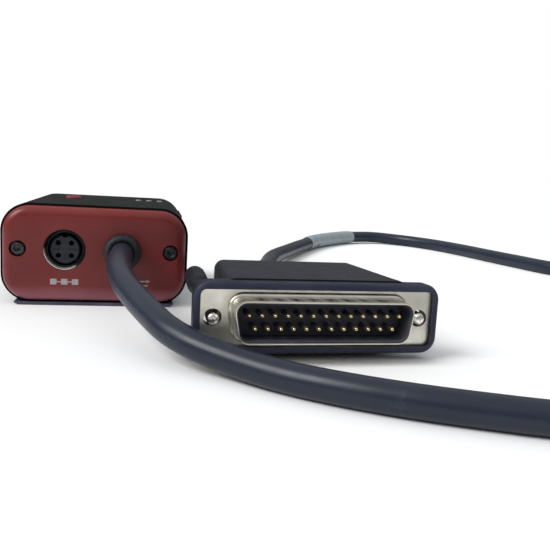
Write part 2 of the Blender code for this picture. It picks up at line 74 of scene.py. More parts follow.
def stage_piece(name, points, faces, settings, kind="ShaderNodeBsdfPrincipled"):
    mesh = bpy.data.meshes.new(name)
    mesh.from_pydata(points, [], faces)
    paint = bpy.data.materials.new(name)
    paint.use_nodes = True
    nodes = paint.node_tree.nodes
    shader = nodes["Principled BSDF"] if kind.endswith("Principled") else nodes.new(kind)
    set_inputs(shader, settings)
    paint.node_tree.links.new(shader.outputs[0], nodes["Material Output"].inputs["Surface"])
    mesh.materials.append(paint)
    made = bpy.data.objects.new(name, mesh)
    scene.collection.objects.link(made)
    return made


stage_piece("table", [(-14, -14, 0), (14, -14, 0), (14, 14, 0), (-14, 14, 0)], [(0, 1, 2, 3)], {
    "Base Color": (0.93, 0.93, 0.93, 1), "Roughness": 0.8, "Specular IOR Level": 0.1,
})
corners = [(x, y, z) for z in (-1, 9) for x, y in ((-13, -13), (13, -13), (13, 13), (-13, 13))]
walls = [(0, 1, 5, 4), (1, 2, 6, 5), (2, 3, 7, 6), (3, 0, 4, 7), (4, 5, 6, 7)]
dome = stage_piece(
    "white_dome", corners, walls, {"Color": (1, 1, 1, 1), "Strength": 1.0}, "ShaderNodeEmission"
)
for ray in ("diffuse", "glossy", "transmission", "volume_scatter", "shadow"):
    setattr(dome, f"visible_{ray}", False)

SKY = ((0.0, 0.10), (0.22, 0.20), (0.55, 0.62), (1.0, 0.85))      # height of the ray, brightness
studio = bpy.data.worlds.new("pale_studio")
scene.world = studio
studio.use_nodes = True
sky = studio.node_tree
ray = sky.nodes.new("ShaderNodeTexCoord")
split = sky.nodes.new("ShaderNodeSeparateXYZ")
ramp = sky.nodes.new("ShaderNodeValToRGB")
for height, shade in SKY[1:-1]:
    ramp.color_ramp.elements.new(height)
for stop, (height, shade) in zip(ramp.color_ramp.elements, SKY):
    stop.position = height
    stop.color = (shade * 0.97, shade * 0.985, shade, 1)
sky.links.new(ray.outputs["Generated"], split.inputs[0])
sky.links.new(split.outputs["Z"], ramp.inputs[0])
sky.links.new(ramp.outputs[0], sky.nodes["Background"].inputs["Color"])

sun = bpy.data.lights.new("soft_sun", "SUN")
sun.energy = 2.3
sun.angle = math.radians(30)
sun_lamp = bpy.data.objects.new("soft_sun", sun)
sun_lamp.rotation_euler = Vector((-0.70, -0.22, 0.68)).to_track_quat("Z", "Y").to_euler()
scene.collection.objects.link(sun_lamp)

scene.view_settings.view_transform = "Standard"
camera = bpy.data.cameras.new("camera")
camera.lens = 42.55
camera.sensor_width = 36
camera.clip_start = 0.01
viewpoint = bpy.data.objects.new("camera", camera)
viewpoint.location = (0.01417, -0.21266, 0.04122)
viewpoint.rotation_euler = [math.radians(a) for a in (80.69, -3.36, -10.74)]
scene.collection.objects.link(viewpoint)
scene.camera = viewpoint


# ---------------------------------------------------------------- input/output lead
# A round polyurethane-jacketed cable, 6.2 mm across and about 0.9 m long, extruded in slate
# blue.  It leaves the gland, sinks to the table, runs a wide loop and comes back into the
# plug's boot.  The jacket is satin, with faint draw lines along it and light scuffs.
MM = 0.001
LEAD_ROUTE = [
    (7.3, -23.0, 15.7), (7.3, -31.5, 15.7), (7.1, -38.0, 15.4), (7.2, -47.0, 14.3),
    (8.7, -56.0, 12.6), (11.7, -65.0, 10.6), (15.4, -73.2, 8.5), (18.7, -79.5, 6.9),
    (23.2, -84.7, 5.4), (30.0, -90.4, 4.0), (39.6, -99.0, 3.2), (49.4, -106.3, 3.15),
    (59.0, -111.9, 3.15), (70.5, -117.2, 3.15), (86.0, -123.2, 3.15), (119.0, -133.5, 3.15),
    (158.0, -140.5, 3.15), (200.0, -138.0, 3.15), (240.0, -122.0, 3.15), (269.0, -91.0, 3.15),
    (281.0, -49.0, 3.15), (272.0, -9.0, 3.15), (247.0, 18.0, 3.15), (217.5, 34.0, 3.15),
    (199.0, 54.0, 3.15), (192.5, 76.0, 3.15), (187.5, 97.0, 3.15), (182.5, 119.0, 3.15),
    (174.5, 140.0, 3.15), (161.5, 155.5, 3.3), (147.5, 161.0, 3.75), (133.0, 156.5, 3.8),
    (117.5, 143.5, 3.8), (103.5, 127.0, 3.8), (90.0, 103.5, 3.8), (77.5, 78.5, 4.0),
    (64.8, 48.0, 5.0), (56.6, 16.0, 6.3),
]
LEAD_ENDS = (63.0, 50.0, 36.0)
LEAD_RADIUS = 3.1
LEAD_STEP = 1.625
LEAD_SIDES = 28
PLUG_PLACE = (51.5, -78.1, 9.5)
PLUG_TILT = Euler([math.radians(a) for a in (-1.2, 0.0, 2.2)]).to_matrix()
GLAND_X = 7.3
PORT_Z = 15.7


class Wire:
    """A shader output that takes part in sums, so that a pattern reads like arithmetic."""

    def __init__(self, paint, output):
        self.paint = paint
        self.output = output

    def math(self, operation, first, second):
        return self.paint.node("ShaderNodeMath", {"operation": operation}, {0: first, 1: second})

    def __add__(self, other):
        return self.math("ADD", self, other)

    def __sub__(self, other):
        return self.math("SUBTRACT", self, other)

    def __rsub__(self, other):
        return self.math("SUBTRACT", other, self)

    def __mul__(self, other):
        return self.math("MULTIPLY", self, other)

    def __gt__(self, other):
        return self.math("GREATER_THAN", self, other)

    def __lt__(self, other):
        return self.math("LESS_THAN", self, other)

    __radd__ = __add__
    __rmul__ = __mul__


class Paint:
    """A material being mixed; its fixed values go straight onto the shader's own sockets."""

    def __init__(self, name, slot, **fixed):
        self.material = bpy.data.materials.new(name)
        self.material.use_nodes = True
        self.tree = self.material.node_tree
        self.shader = self.tree.nodes["Principled BSDF"]
        self.slot = slot
        for socket, value in fixed.items():
            self.feed(socket.replace("_", " "), value)

    def node(self, kind, settings=None, sockets=None, out=0):
        made = self.tree.nodes.new(kind)
        for key, value in (settings or {}).items():
            if key == "stops":
                for stop, (place, shade) in zip(made.color_ramp.elements, value):
                    stop.position, stop.color = place, (shade, shade, shade, 1)
            else:
                setattr(made, key, value)
        for key, value in (sockets or {}).items():
            self.join(made.inputs[key], value)
        return Wire(self, made.outputs[out])

    def join(self, socket, value):
        if isinstance(value, Wire):
            self.tree.links.new(value.output, socket)
        elif isinstance(value, tuple) and len(value) == 3 and socket.type == "RGBA":
            socket.default_value = (*value, 1)
        else:
            socket.default_value = value

    def feed(self, socket, value):
        self.join(self.shader.inputs[socket], value)
        return self

    def place(self, stretch=(1, 1, 1)):
        """The point on the piece, with its axes stretched by three factors."""
        point = self.node("ShaderNodeTexCoord", out="Object")
        return self.node("ShaderNodeVectorMath", {"operation": "MULTIPLY"}, {0: point, 1: stretch})

    def noise(self, size, detail=3.0, stretch=(1, 1, 1), point=None):
        """Cloudy variation from about 0.3 to 0.7; size is a blotch's width in millimetres."""
        return self.node("ShaderNodeTexNoise", None, {
            "Vector": point or self.place(stretch), "Scale": 1 / (size * MM), "Detail": detail,
        })

    def ramp(self, value, low, high):
        """0 below low, 1 above high and a straight slope between."""
        return self.node("ShaderNodeMapRange", {"clamp": True}, {
            "Value": value, "From Min": low, "From Max": high,
        })

    def blend(self, share, first, second):
        """The first colour where share is 0 and the second where it is 1."""
        made = self.tree.nodes.new("ShaderNodeMix")
        made.data_type = "RGBA"
        self.join(made.inputs[0], share)
        self.join(made.inputs[6], first)
        self.join(made.inputs[7], second)
        return Wire(self, made.outputs[2])

    def part(self, vector, axis):
        return self.node("ShaderNodeSeparateXYZ", None, {0: vector}, axis)

    def shades(self, size, detail, spread, first, second):
        """Two shades in blotches; spread is where the first ends and where the second is full."""
        share = self.noise(size, detail)
        if spread:
            share = self.ramp(share, *spread)
        return self.feed("Base Color", self.blend(share, first, second))

    def gloss(self, base, extra, size, detail):
        """Roughness that rises above base in cloudy patches."""
        return self.feed("Roughness", base + extra * self.noise(size, detail))

    def grain(self, size, detail, depth, strength):
        """A fine uneven surface of one kind of noise."""
        return self.relief(self.noise(size, detail), depth, strength)

    def relief(self, height, depth, strength=1.0):
        """Bumps depth millimetres high where height runs from 0 to 1."""
        return self.feed("Normal", self.node("ShaderNodeBump", None, {
            "Height": height, "Distance": depth * MM, "Strength": strength,
        }))


def smooth_line(route, step):
    """Points about a step apart on a smooth curve through a route's points."""
    pts = [Vector(p) for p in route]
    slopes = []
    for i, here in enumerate(pts):
        back = here - pts[i - 1] if i else pts[1] - here
        ahead = pts[i + 1] - here if i + 1 < len(pts) else back
        a, b = back.length, ahead.length
        slopes.append((back * (b / a) + ahead * (a / b)) / (a + b))
    fine = [pts[0]]
    for p, q, m, n in zip(pts, pts[1:], slopes, slopes[1:]):
        third = (q - p).length / 3
        fine += interpolate_bezier(p, p + m * third, q - n * third, q, 25)[1:]
    lengths = [0.0]
    for p, q in zip(fine, fine[1:]):
        lengths.append(lengths[-1] + (q - p).length)
    count = round(lengths[-1] / step)
    line, k = [], 0
    for i in range(count + 1):
        want = lengths[-1] * i / count
        while k < len(fine) - 2 and lengths[k + 1] < want:
            k += 1
        line.append(fine[k].lerp(fine[k + 1], (want - lengths[k]) / (lengths[k + 1] - lengths[k])))
    return line


def stations(line):
    """A matrix at each point of a line: X and Y across it, Z along it, without twist."""
    made = []
    across = Vector((0, 0, 1))
    for i, here in enumerate(line):
        along = (line[min(i + 1, len(line) - 1)] - line[max(i - 1, 0)]).normalized()
        across = (across - along * across.dot(along)).normalized()
        side = along.cross(across)
        made.append(Matrix((across, side, along)).transposed().to_4x4())
        made[-1].translation = here
    return made


def loft(rings, closed=False, caps=True, uv=None):
    """Skins rings of equal numbers of points; closed joins the last ring to the first."""
    bm = bmesh.new()
    rows = [[bm.verts.new(p) for p in ring] for ring in rings]
    layer = bm.loops.layers.uv.new("along") if uv else None
    count = len(rings[0])
    pairs = list(zip(range(len(rows)), range(1, len(rows))))
    if closed:
        pairs.append((len(rows) - 1, 0))
    for a, b in pairs:
        for i in range(count):
            j = (i + 1) % count
            face = bm.faces.new((rows[a][i], rows[a][j], rows[b][j], rows[b][i]))
            if uv:
                for loop, (u, v) in zip(face.loops, ((i, a), (i + 1, a), (i + 1, b), (i, b))):
                    loop[layer].uv = (u / count, uv[v])
    if caps and not closed:
        bm.faces.new(rows[0][::-1])
        bm.faces.new(rows[-1])
    bmesh.ops.recalc_face_normals(bm, faces=bm.faces)
    return bm


def round_ring(radius, height, sides, frame=None):
    """A circle of points about Z at a height, or about a station's own axis."""
    turns = [2 * math.pi * i / sides for i in range(sides)]
    ring = [Vector((radius * math.cos(t), radius * math.sin(t), height)) for t in turns]
    return [frame @ p for p in ring] if frame else ring


SHARP = math.radians(38)         # an edge that turns further than this stays crisp


def finished(name, bm, paint, body="housing", stands_for=(), place=None, soft=None, smooth=True):
    """Turns a bmesh in millimetres into a piece that rides on a body.

    place moves it first, and soft rounds its sharp edges by that many millimetres.
    """
    if place:
        bmesh.ops.transform(bm, matrix=place, verts=bm.verts)
    bmesh.ops.scale(bm, vec=(MM, MM, MM), verts=bm.verts)
    mesh = bpy.data.meshes.new(name)
    bm.to_mesh(mesh)
    bm.free()
    mesh.materials.clear()
    mesh.materials.append(paint.material)
    if smooth:
        mesh.shade_smooth()
        if not soft:
            mesh.set_sharp_from_angle(angle=SHARP)
    made = bpy.data.objects.new(name, mesh)
    scene.collection.objects.link(made)
    if soft:
        edge = made.modifiers.new("Soft edges", "BEVEL")
        edge.width = soft * MM
        edge.segments = 2
        edge.limit_method = "ANGLE"
        edge.angle_limit = SHARP
        edge.harden_normals = True
    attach(made, body)
    if stands_for:
        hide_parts(*stands_for)
    return made


lead_line = smooth_line(
    LEAD_ROUTE + [Vector(PLUG_PLACE) + PLUG_TILT @ Vector((0, d, 0)) for d in LEAD_ENDS], LEAD_STEP
)
lead_stations = stations(lead_line)
lead_marks = [i * LEAD_STEP for i in range(len(lead_line))]

jacket = Paint("cable_jacket", "cable_jacket", Specular_IOR_Level=0.32)
jacket_uv = jacket.node("ShaderNodeUVMap", {"uv_map": "along"})
draw_lines = jacket.noise(1, 2.0, point=jacket.node(
    "ShaderNodeVectorMath", {"operation": "MULTIPLY"}, {0: jacket_uv, 1: (0.022, 0.00002, 1)}
))
grain = jacket.noise(0.22, 2.0)
scuffs = jacket.ramp(jacket.noise(9.0, 6.0), 0.56, 0.7) * jacket.ramp(jacket.noise(0.8, 4.0), 0.5, 0.62)
jacket.feed("Base Color", jacket.blend(
    jacket.ramp(jacket.noise(26.0, 3.0) * 0.6 + scuffs * 0.5, 0.2, 0.75),
    (0.0120, 0.0170, 0.0310), (0.0250, 0.0325, 0.0520),
))
jacket.feed("Roughness", 0.27 + 0.14 * jacket.noise(3.0, 4.0) + 0.16 * scuffs)
jacket.relief(draw_lines * 0.7 + grain * 0.5, 0.05, 0.55)

lead_cable = finished(
    "lead_cable",
    loft([round_ring(LEAD_RADIUS, 0, LEAD_SIDES, s) for s in lead_stations], uv=lead_marks),
    jacket, stands_for=["io_cable"],
)

# ---------------------------------------------------------------- marker sleeve on the lead
# A pale grey-blue heat-shrunk identification sleeve, 58 mm long, with a plain printed bar
# pattern at one end.  Its ends are drawn in where the plastic shrank on the jacket.
SLEEVE_SPAN = (0.7512, 0.8138)
SLEEVE_RADIUS = 3.58
SLEEVE_BARS = ((43.0, 4.2), (49.5, 1.2), (52.0, 2.6))       # millimetres from its end, and length
sleeve_paint = Paint("marker_sleeve", "marker_sleeve", Specular_IOR_Level=0.45)
sleeve_uv = sleeve_paint.node("ShaderNodeUVMap", {"uv_map": "along"})
sleeve_u = sleeve_paint.part(sleeve_uv, "X")
sleeve_v = sleeve_paint.part(sleeve_uv, "Y")
first_mark = SLEEVE_SPAN[0] * lead_marks[-1]
sleeve_print = 0.0
for start, long in SLEEVE_BARS:
    bar = (sleeve_v > first_mark + start) * (sleeve_v < first_mark + start + long)
    sleeve_print = bar + sleeve_print
band_edge = (sleeve_u > 0.06) * (sleeve_u < 0.2) + (sleeve_u > 0.56) * (sleeve_u < 0.7)
sleeve_print = sleeve_print * band_edge * (sleeve_paint.noise(0.7, 3.0) > 0.42)
sleeve_paint.feed("Base Color", sleeve_paint.blend(
    sleeve_print, sleeve_paint.blend(
        sleeve_paint.ramp(sleeve_paint.noise(5.0, 4.0), 0.3, 0.7), (0.25, 0.30, 0.33), (0.34, 0.40, 0.43)
    ), (0.02, 0.022, 0.028),
))
sleeve_paint.gloss(0.36, 0.2, 1.6, 3.0).grain(2.4, 3.0, 0.06, 0.5)

low, high = (round(share * len(lead_line)) for share in SLEEVE_SPAN)
sleeve_rings = []
for i in range(low, high + 1):
    near_end = min(i - low, high - i) * LEAD_STEP
    drawn = 0.25 * math.exp(-near_end / 1.2)
    sleeve_rings.append((i, SLEEVE_RADIUS - drawn))
sleeve_rings += [(i, LEAD_RADIUS + 0.08) for i in range(high, low - 1, -1)]
marker = finished(
    "marker_sleeve",
    loft([round_ring(r, 0, LEAD_SIDES, lead_stations[i]) for i, r in sleeve_rings], closed=True,
         uv=[lead_marks[i] for i, r in sleeve_rings]),
    sleeve_paint, stands_for=["cable_marker"],
)
lead_pieces = [marker]

# ---------------------------------------------------------------- housing shell
# Die-cast and machined aluminium tube with rounded long edges, painted black with a fine
# texture.  The rear has a thin rim round the red cover's seat; inside are screw bosses and
# slots for the boards, and the top is pierced for the button and the light guides.
WIDTH = 51.0
BODY_LOW = 0.5
BODY_TOP = 28.1
MID = (BODY_LOW + BODY_TOP) / 2
HEIGHT = BODY_TOP - BODY_LOW
HALF_LENGTH = 27.9
CORNER = 8.0
WALL = 1.8
COVER_FACE = -27.5
SHELL_REAR = -24.8
SHELL_FRONT = 23.6
SCREW_X = 20.6
BUTTON = (-10.0, 10.0)
LIGHTS_X = (10.8, 14.2, 17.6)
LIGHTS_Y = 9.0
AXES = {
    "X": Matrix.Rotation(math.radians(90), 4, "Y"),
    "Y": Matrix.Rotation(math.radians(-90), 4, "X"),
    "-Y": Matrix.Rotation(math.radians(90), 4, "X"),
    "Z": Matrix.Identity(4),
}


def at(x, y, z, axis="Z"):
    """Where a piece drawn on Z goes: its foot's point and the way that it points."""
    return Matrix.Translation((x, y, z)) @ AXES[axis]


def moved(bm, place):
    bmesh.ops.transform(bm, matrix=place, verts=bm.verts)
    return bm


def block(size, centre):
    bm = bmesh.new()
    bmesh.ops.create_cube(bm, size=1.0)
    bmesh.ops.scale(bm, vec=size, verts=bm.verts)
    bmesh.ops.translate(bm, vec=centre, verts=bm.verts)
    return bm


def rounded_ring(half_wide, half_high, radius, height, steps=10):
    """A rounded rectangle of points about Z, at a height."""
    ring = []
    for sx, sy, start in ((1, 1, 0), (-1, 1, 90), (-1, -1, 180), (1, -1, 270)):
        for k in range(steps + 1):
            turn = math.radians(start + 90 * k / steps)
            x = sx * (half_wide - radius) + radius * math.cos(turn)
            y = sy * (half_high - radius) + radius * math.sin(turn)
            ring.append(Vector((x, y, height)))
    return ring


def pad(size, radius, profile, closed=False, steps=10):
    """A rounded rectangular piece standing on Z from a profile of (inset, height) points."""
    wide, deep = size
    return loft([
        rounded_ring(wide / 2 - inset, deep / 2 - inset, max(radius - inset, 0.02), height, steps)
        for inset, height in profile
    ], closed)


def turned(profile, sides=40, closed=False):
    """A turned piece standing on Z from a profile of (radius, height) points."""
    return loft([round_ring(radius, height, sides) for radius, height in profile], closed)


def rod(radius, low, high, sides=32):
    return turned([(radius, low), (radius, high)], sides)


def rounding(radius, start, top, steps=6):
    """Profile points of a convex rounded edge: insets from start, up to the height top."""
    turns = [math.radians(90 * k / steps) for k in range(steps + 1)]
    return [(start + radius * (1 - math.cos(t)), top - radius * (1 - math.sin(t))) for t in turns]


def together(*shapes):
    """Several bmeshes in one, without joining their walls."""
    mesh = bpy.data.meshes.new("shapes")
    whole = bmesh.new()
    for bm in shapes:
        bm.to_mesh(mesh)
        bm.free()
        whole.from_mesh(mesh)
    bpy.data.meshes.remove(mesh)
    return whole


def carved(bm, cuts=(), joins=()):
    """A bmesh after exact booleans: joins are added first, then cuts are taken away."""
    def as_object(shape):
        mesh = bpy.data.meshes.new("shape")
        shape.to_mesh(mesh)
        shape.free()
        made = bpy.data.objects.new("shape", mesh)
        scene.collection.objects.link(made)
        return made

    whole = as_object(bm)
    tools = []
    for operation, shapes in (("UNION", joins), ("DIFFERENCE", cuts)):
        for shape in shapes:
            step = whole.modifiers.new(operation, "BOOLEAN")
            step.operation = operation
            step.solver = "EXACT"
            step.object = as_object(shape)
            tools.append(step.object)
    bpy.context.view_layer.update()
    mesh = bpy.data.meshes.new_from_object(whole.evaluated_get(bpy.context.evaluated_depsgraph_get()))
    result = bmesh.new()
    result.from_mesh(mesh)
    bmesh.ops.remove_doubles(result, verts=result.verts, dist=0.001)
    for done in [whole] + tools:
        bpy.data.objects.remove(done)
    bpy.data.meshes.remove(mesh)
    return result


black = Paint("black_paint", "black_housing", Specular_IOR_Level=0.07)
leather = black.noise(0.42, 3.0)
dust = (black.noise(0.5, 2.0) > 0.69) * black.ramp(black.noise(14.0, 3.0), 0.45, 0.6)
black.feed("Base Color", black.blend(
    black.ramp(black.noise(11.0, 4.0) + dust * 0.6, 0.35, 1.0),
    (0.0028, 0.0034, 0.0032), (0.0150, 0.0162, 0.0158),
))
black.feed("Roughness", 0.42 + 0.22 * black.noise(4.0, 4.0) + 0.2 * dust)
black.relief(leather + 0.4 * dust, 0.05, 0.5)

shell_profile = [
    (0, -SHELL_REAR), (0.4, -SHELL_REAR), (0.4, 22.3), (WALL, 22.3),
    (WALL, -SHELL_FRONT), (0, -SHELL_FRONT),
]
shell = moved(
    pad((WIDTH, HEIGHT), CORNER, shell_profile, closed=True, steps=14), at(0, 0, MID, "-Y")
)
bosses, holes = [], []
for side in (-1, 1):
    for low, high, z in ((-21.9, -14.0, PORT_Z), (15.0, SHELL_FRONT - 0.4, MID)):
        bosses.append(block((6.2, high - low, 5.2), (side * (WIDTH / 2 - 4.3), (low + high) / 2, z)))
        holes.append(moved(rod(1.5, low - 1, high + 1), at(side * SCREW_X, 0, z, "Y")))
    for low, high in ((4.6, 5.9), (7.7, 8.7), (21.2, 22.4), (24.0, 25.0)):
        size = (3.4, 22.0, high - low)
        bosses.append(block(size, (side * (WIDTH / 2 - 2.9), 2.0, (low + high) / 2)))
    holes.append(moved(rod(1.35, 0, 4), at(side * 14, 0, 0)))
for y in (-15.0, 15.0):
    bosses.append(block((8, 8, 3.4), (0, y, 3.6)))
    holes.append(moved(rod(1.25, 0, 4.5), at(0, y, 0)))
holes.append(moved(pad((5.6, 9.0), 2.7, [(0, -3), (0, 2.2), (-0.25, 3)]), at(*BUTTON, BODY_TOP - 2.6)))
for x in LIGHTS_X:
    holes.append(moved(turned([(1.3, -3), (1.3, -0.2), (1.5, 0.1)], 24), at(x, LIGHTS_Y, BODY_TOP)))
finished("housing_shell", carved(shell, holes, bosses), black, stands_for=["housing_shell"], soft=0.15)

# ---------------------------------------------------------------- base plate
# A shallow channel of dark blue-grey painted steel sheet under the shell, with lips up its long
# sides and its rear, two mounting holes on the middle line and two small countersunk screws.
lip = [(20.3, 0.0), (21.7, 0.6), (21.7, 0.95), (21.2, 0.95), (20.0, 0.35)]
channel = lip + [(-x, z) for x, z in reversed(lip)]
plate = loft([[Vector((x, y, z)) for x, z in channel] for y in (-27.0, 24.0)])
plate = carved(plate, joins=[block((41.4, 0.5, 0.85), (0, -26.75, 0.5))])
plate_holes = [moved(rod(1.7, -1, 2), at(0, y, 0)) for y in (-15, 15)]
plate_holes += [moved(turned([(2.1, -0.01), (1.75, 0.36)]), at(x, 0, 0)) for x in (-14, 14)]
blued = Paint("plate_paint", "black_housing", Specular_IOR_Level=0.25)
blued.shades(7.0, 4.0, (0.35, 0.7), (0.050, 0.048, 0.080), (0.098, 0.092, 0.145))
blued.gloss(0.45, 0.2, 2.0, 3.0).grain(0.5, 3.0, 0.02, 0.4)
finished("base_plate", carved(plate, plate_holes), blued, stands_for=["base_plate"], soft=0.12)

steel = Paint("blackened_steel", "black_steel", Metallic=0.9)
steel.shades(1.1, 4.0, (0.35, 0.7), (0.028, 0.029, 0.031), (0.075, 0.077, 0.08))
steel.gloss(0.26, 0.22, 0.8, 4.0)
steel.relief(steel.noise(0.16, 2.0, stretch=(1, 1, 6)), 0.012, 0.4)


class Recipe:
    """A Geometry Nodes tree in the making; its inputs are given as label and socket kind."""

    def __init__(self, name, inputs):
        self.tree = bpy.data.node_groups.new(name, "GeometryNodeTree")
        face = self.tree.interface
        face.new_socket("Geometry", in_out="OUTPUT", socket_type="NodeSocketGeometry")
        for label, kind in inputs:
            face.new_socket(label, in_out="INPUT", socket_type="NodeSocket" + kind)
        self.inputs = self.tree.nodes.new("NodeGroupInput").outputs

    def node(self, kind, settings=None, sockets=None, out=0):
        made = self.tree.nodes.new(kind)
        for key, value in (settings or {}).items():
            setattr(made, key, value)
        for key, value in (sockets or {}).items():
            for one in value if isinstance(value, list) else [value]:
                if isinstance(one, bpy.types.NodeSocket):
                    self.tree.links.new(one, made.inputs[key])
                else:
                    made.inputs[key].default_value = one
        return made.outputs[out]

    def copies(self, points, turn=None, size=None):
        """The input Piece at every point, turned and scaled where that is asked."""
        piece = self.node("GeometryNodeObjectInfo", None, {"Object": self.inputs["Piece"]}, "Geometry")
        sockets = {"Points": points, "Instance": piece}
        if turn is not None:
            sockets["Rotation"] = turn
        if size is not None:
            sockets["Scale"] = size
        return self.node("GeometryNodeInstanceOnPoints", None, sockets)

    def end(self, geometry):
        real = self.node("GeometryNodeRealizeInstances", None, {"Geometry": geometry})
        painted = self.node("GeometryNodeSetMaterial", None, {
            "Geometry": real, "Material": self.inputs["Finish"],
        })
        sink = self.tree.nodes.new("NodeGroupOutput")
        self.tree.links.new(painted, sink.inputs[0])
        return self


def grown(recipe, piece, paint, **values):
    """The plain mesh of a recipe in millimetres, with one shape as its Piece."""
    model = bpy.data.objects.new("model", bpy.data.meshes.new("model"))
    piece.to_mesh(model.data)
    piece.free()
    ground = bpy.data.objects.new("ground", bpy.data.meshes.new("ground"))
    for made in (model, ground):
        scene.collection.objects.link(made)
    step = ground.modifiers.new("Recipe", "NODES")
    step.node_group = recipe.tree
    values.update(Piece=model, Finish=paint.material)
    for item in recipe.tree.interface.items_tree:
        if item.in_out == "INPUT":
            step[item.identifier] = values[item.name]
    bpy.context.view_layer.update()
    mesh = bpy.data.meshes.new_from_object(ground.evaluated_get(bpy.context.evaluated_depsgraph_get()))
    result = bmesh.new()
    result.from_mesh(mesh)
    for made in (model, ground):
        bpy.data.objects.remove(made)
    bpy.data.meshes.remove(mesh)
    return result


# Copies of a piece in a straight row, evenly spaced about the middle
row = Recipe("row_of_pieces", [
    ("Piece", "Object"), ("Finish", "Material"), ("Count", "Int"), ("Start", "Vector"), ("Step", "Vector"),
])
row.end(row.copies(row.node("GeometryNodeMeshLine", None, {
    "Count": row.inputs["Count"], "Start Location": row.inputs["Start"], "Offset": row.inputs["Step"],
})))

base_screw = carved(
    turned([(1.7, 0.03), (1.75, 0.08), (1.35, 0.4), (1.0, 0.42), (1.0, 2.4)], 24), [rod(0.55, -1, 0.3, 6)],
)
finished(
    "base_screws", grown(row, base_screw, steel, Count=2, Start=(-14, 0, 0), Step=(28, 0, 0)),
    steel, stands_for=["base_screw_left", "base_screw_right"],
)

# ---------------------------------------------------------------- red rear cover
# A cover pressed into the shell's rear, 3.8 mm thick, with a broad rounded edge, in deep red
# enamel.  Two counterbored cap screws hold it, over a thin rubber gasket.  Plain pad-printed
# signs mark the network socket and the lead.
SOCKET_X = -8.3
COVER_THICK = 3.8
COVER_BACK = COVER_FACE + COVER_THICK
COVER_SIZE = (WIDTH - 1.2, HEIGHT - 1.2)
COVER_CORNER = CORNER - 0.6
COUNTERBORE = 2.2
enamel = Paint("red_enamel", "red_cover", Coat_Roughness=0.16, Specular_IOR_Level=0.25)
wipe = enamel.noise(16.0, 3.0, stretch=(1, 1, 1.6))
specks = (enamel.noise(0.35, 2.0) > 0.715) * 0.5
spot = enamel.place((1 / MM, 1 / MM, 1 / MM))
across = enamel.part(spot, "X")
height = enamel.part(spot, "Z")
# painted shade: the red darkens towards the right and towards the top, on top of the enamel's own cloudy
# tone and dust specks
shade = enamel.ramp(wipe + specks + 0.006 * across, 0.30, 0.85)
shade = 0.75 * shade + 0.25 * enamel.ramp(height, 24.5, 20.0)
body_red = enamel.blend(shade, (0.190, 0.024, 0.022), (0.120, 0.0165, 0.017))
# painted reflection of the pale table: the red turns pale pink towards the bottom
painted_table_reflection = 0.85 * enamel.ramp(height + 2.0 * wipe, 6.6, 3.0)
enamel.feed("Base Color", enamel.blend(painted_table_reflection, body_red, (0.300, 0.110, 0.145)))
enamel.feed("Roughness", 0.27 + 0.16 * enamel.noise(5.0, 5.0) + 0.2 * specks)
enamel.feed("Coat Weight", 0.16 * enamel.ramp(enamel.noise(7.0, 4.0), 0.3, 0.65))
enamel.relief(enamel.noise(1.3, 2.0) + 0.25 * enamel.noise(0.3, 2.0), 0.03, 0.35)

edge = [(0.0, 0.0), (0.0, 1.2)] + rounding(2.6, 0.0, COVER_THICK, 9)[1:]
cover = moved(pad(COVER_SIZE, COVER_CORNER, edge, steps=14), at(0, COVER_BACK, MID, "-Y"))
bores = []
for side in (-1, 1):
    bores.append(moved(
        turned([(1.45, -1), (1.45, 1.9), (COUNTERBORE, 1.9), (COUNTERBORE, 3.6), (2.3, 3.82), (2.3, 5)]),
        at(side * SCREW_X, COVER_BACK, PORT_Z, "-Y"),
    ))
for x, radius in ((SOCKET_X, 5.65), (GLAND_X, 4.6)):
    bores.append(moved(rod(radius, -1, 5, 64), at(x, COVER_BACK, PORT_Z, "-Y")))
finished("rear_cover", carved(cover, bores), enamel, stands_for=["rear_cover"], soft=0.14)

rubber = Paint("seal_rubber", "seal_rubber", Specular_IOR_Level=0.3)
rubber.shades(0.8, 3.0, None, (0.012, 0.012, 0.013), (0.03, 0.03, 0.03))
rubber.gloss(0.66, 0.2, 1.5, 3.0).grain(0.2, 2.0, 0.02, 0.4)
finished(
    "rear_gasket",
    moved(pad(COVER_SIZE, COVER_CORNER, [(0, 0), (0, 0.8), (1.1, 0.8), (1.1, 0)], closed=True),
          at(0, -22.6, MID, "-Y")),
    rubber, stands_for=["rear_gasket"], soft=0.12,
)

# cap screws: turned heads with a rounded rim, a hexagon socket and a rolled thread
THREAD_TURNS = 18
THREAD_PITCH = 0.4
screw_profile = [(1.0, 0.0), (1.6, 0.0), (1.85, -0.25), (1.85, -1.5), (1.15, -1.55)]
for turn in range(THREAD_TURNS):
    crest = -1.8 - THREAD_PITCH * turn
    screw_profile += [(1.15, crest), (0.98, crest - THREAD_PITCH / 2)]
cap_screw = carved(turned(screw_profile[::-1], 32), [
    rod(0.95, -0.95, 1, 6), turned([(0.2, -1.25), (0.9, -0.9), (0.9, -0.8)], 24),
    turned([(0.93, -0.12), (1.15, 0.1)], 24),
])
cover_screws = moved(
    grown(row, cap_screw.copy(), steel, Count=2, Start=(-SCREW_X, 0, 0), Step=(2 * SCREW_X, 0, 0)),
    at(0, COVER_FACE + 0.1, PORT_Z, "-Y"),
)
finished("cover_screws", cover_screws, steel, stands_for=["rear_screw_left", "rear_screw_right"])

# pad-printed signs: three linked squares for the network, two arrows for the signals
ink = Paint("print_ink", "light_guide", Specular_IOR_Level=0.3, Roughness=0.6)
ink.shades(0.25, 3.0, (0.4, 0.6), (0.30, 0.27, 0.27), (0.47, 0.44, 0.43))
ink.grain(0.2, 2.0, 0.01, 0.3)


def printed(outline):
    """A flat printed shape, 0.03 mm thick, from (x, z) points on the cover's face."""
    y = COVER_FACE - 0.03
    return loft([[Vector((px, y + d, pz)) for px, pz in outline] for d in (0, 0.06)])


def strip(x0, z0, x1, z1):
    return printed([(x0, z0), (x1, z0), (x1, z1), (x0, z1)])


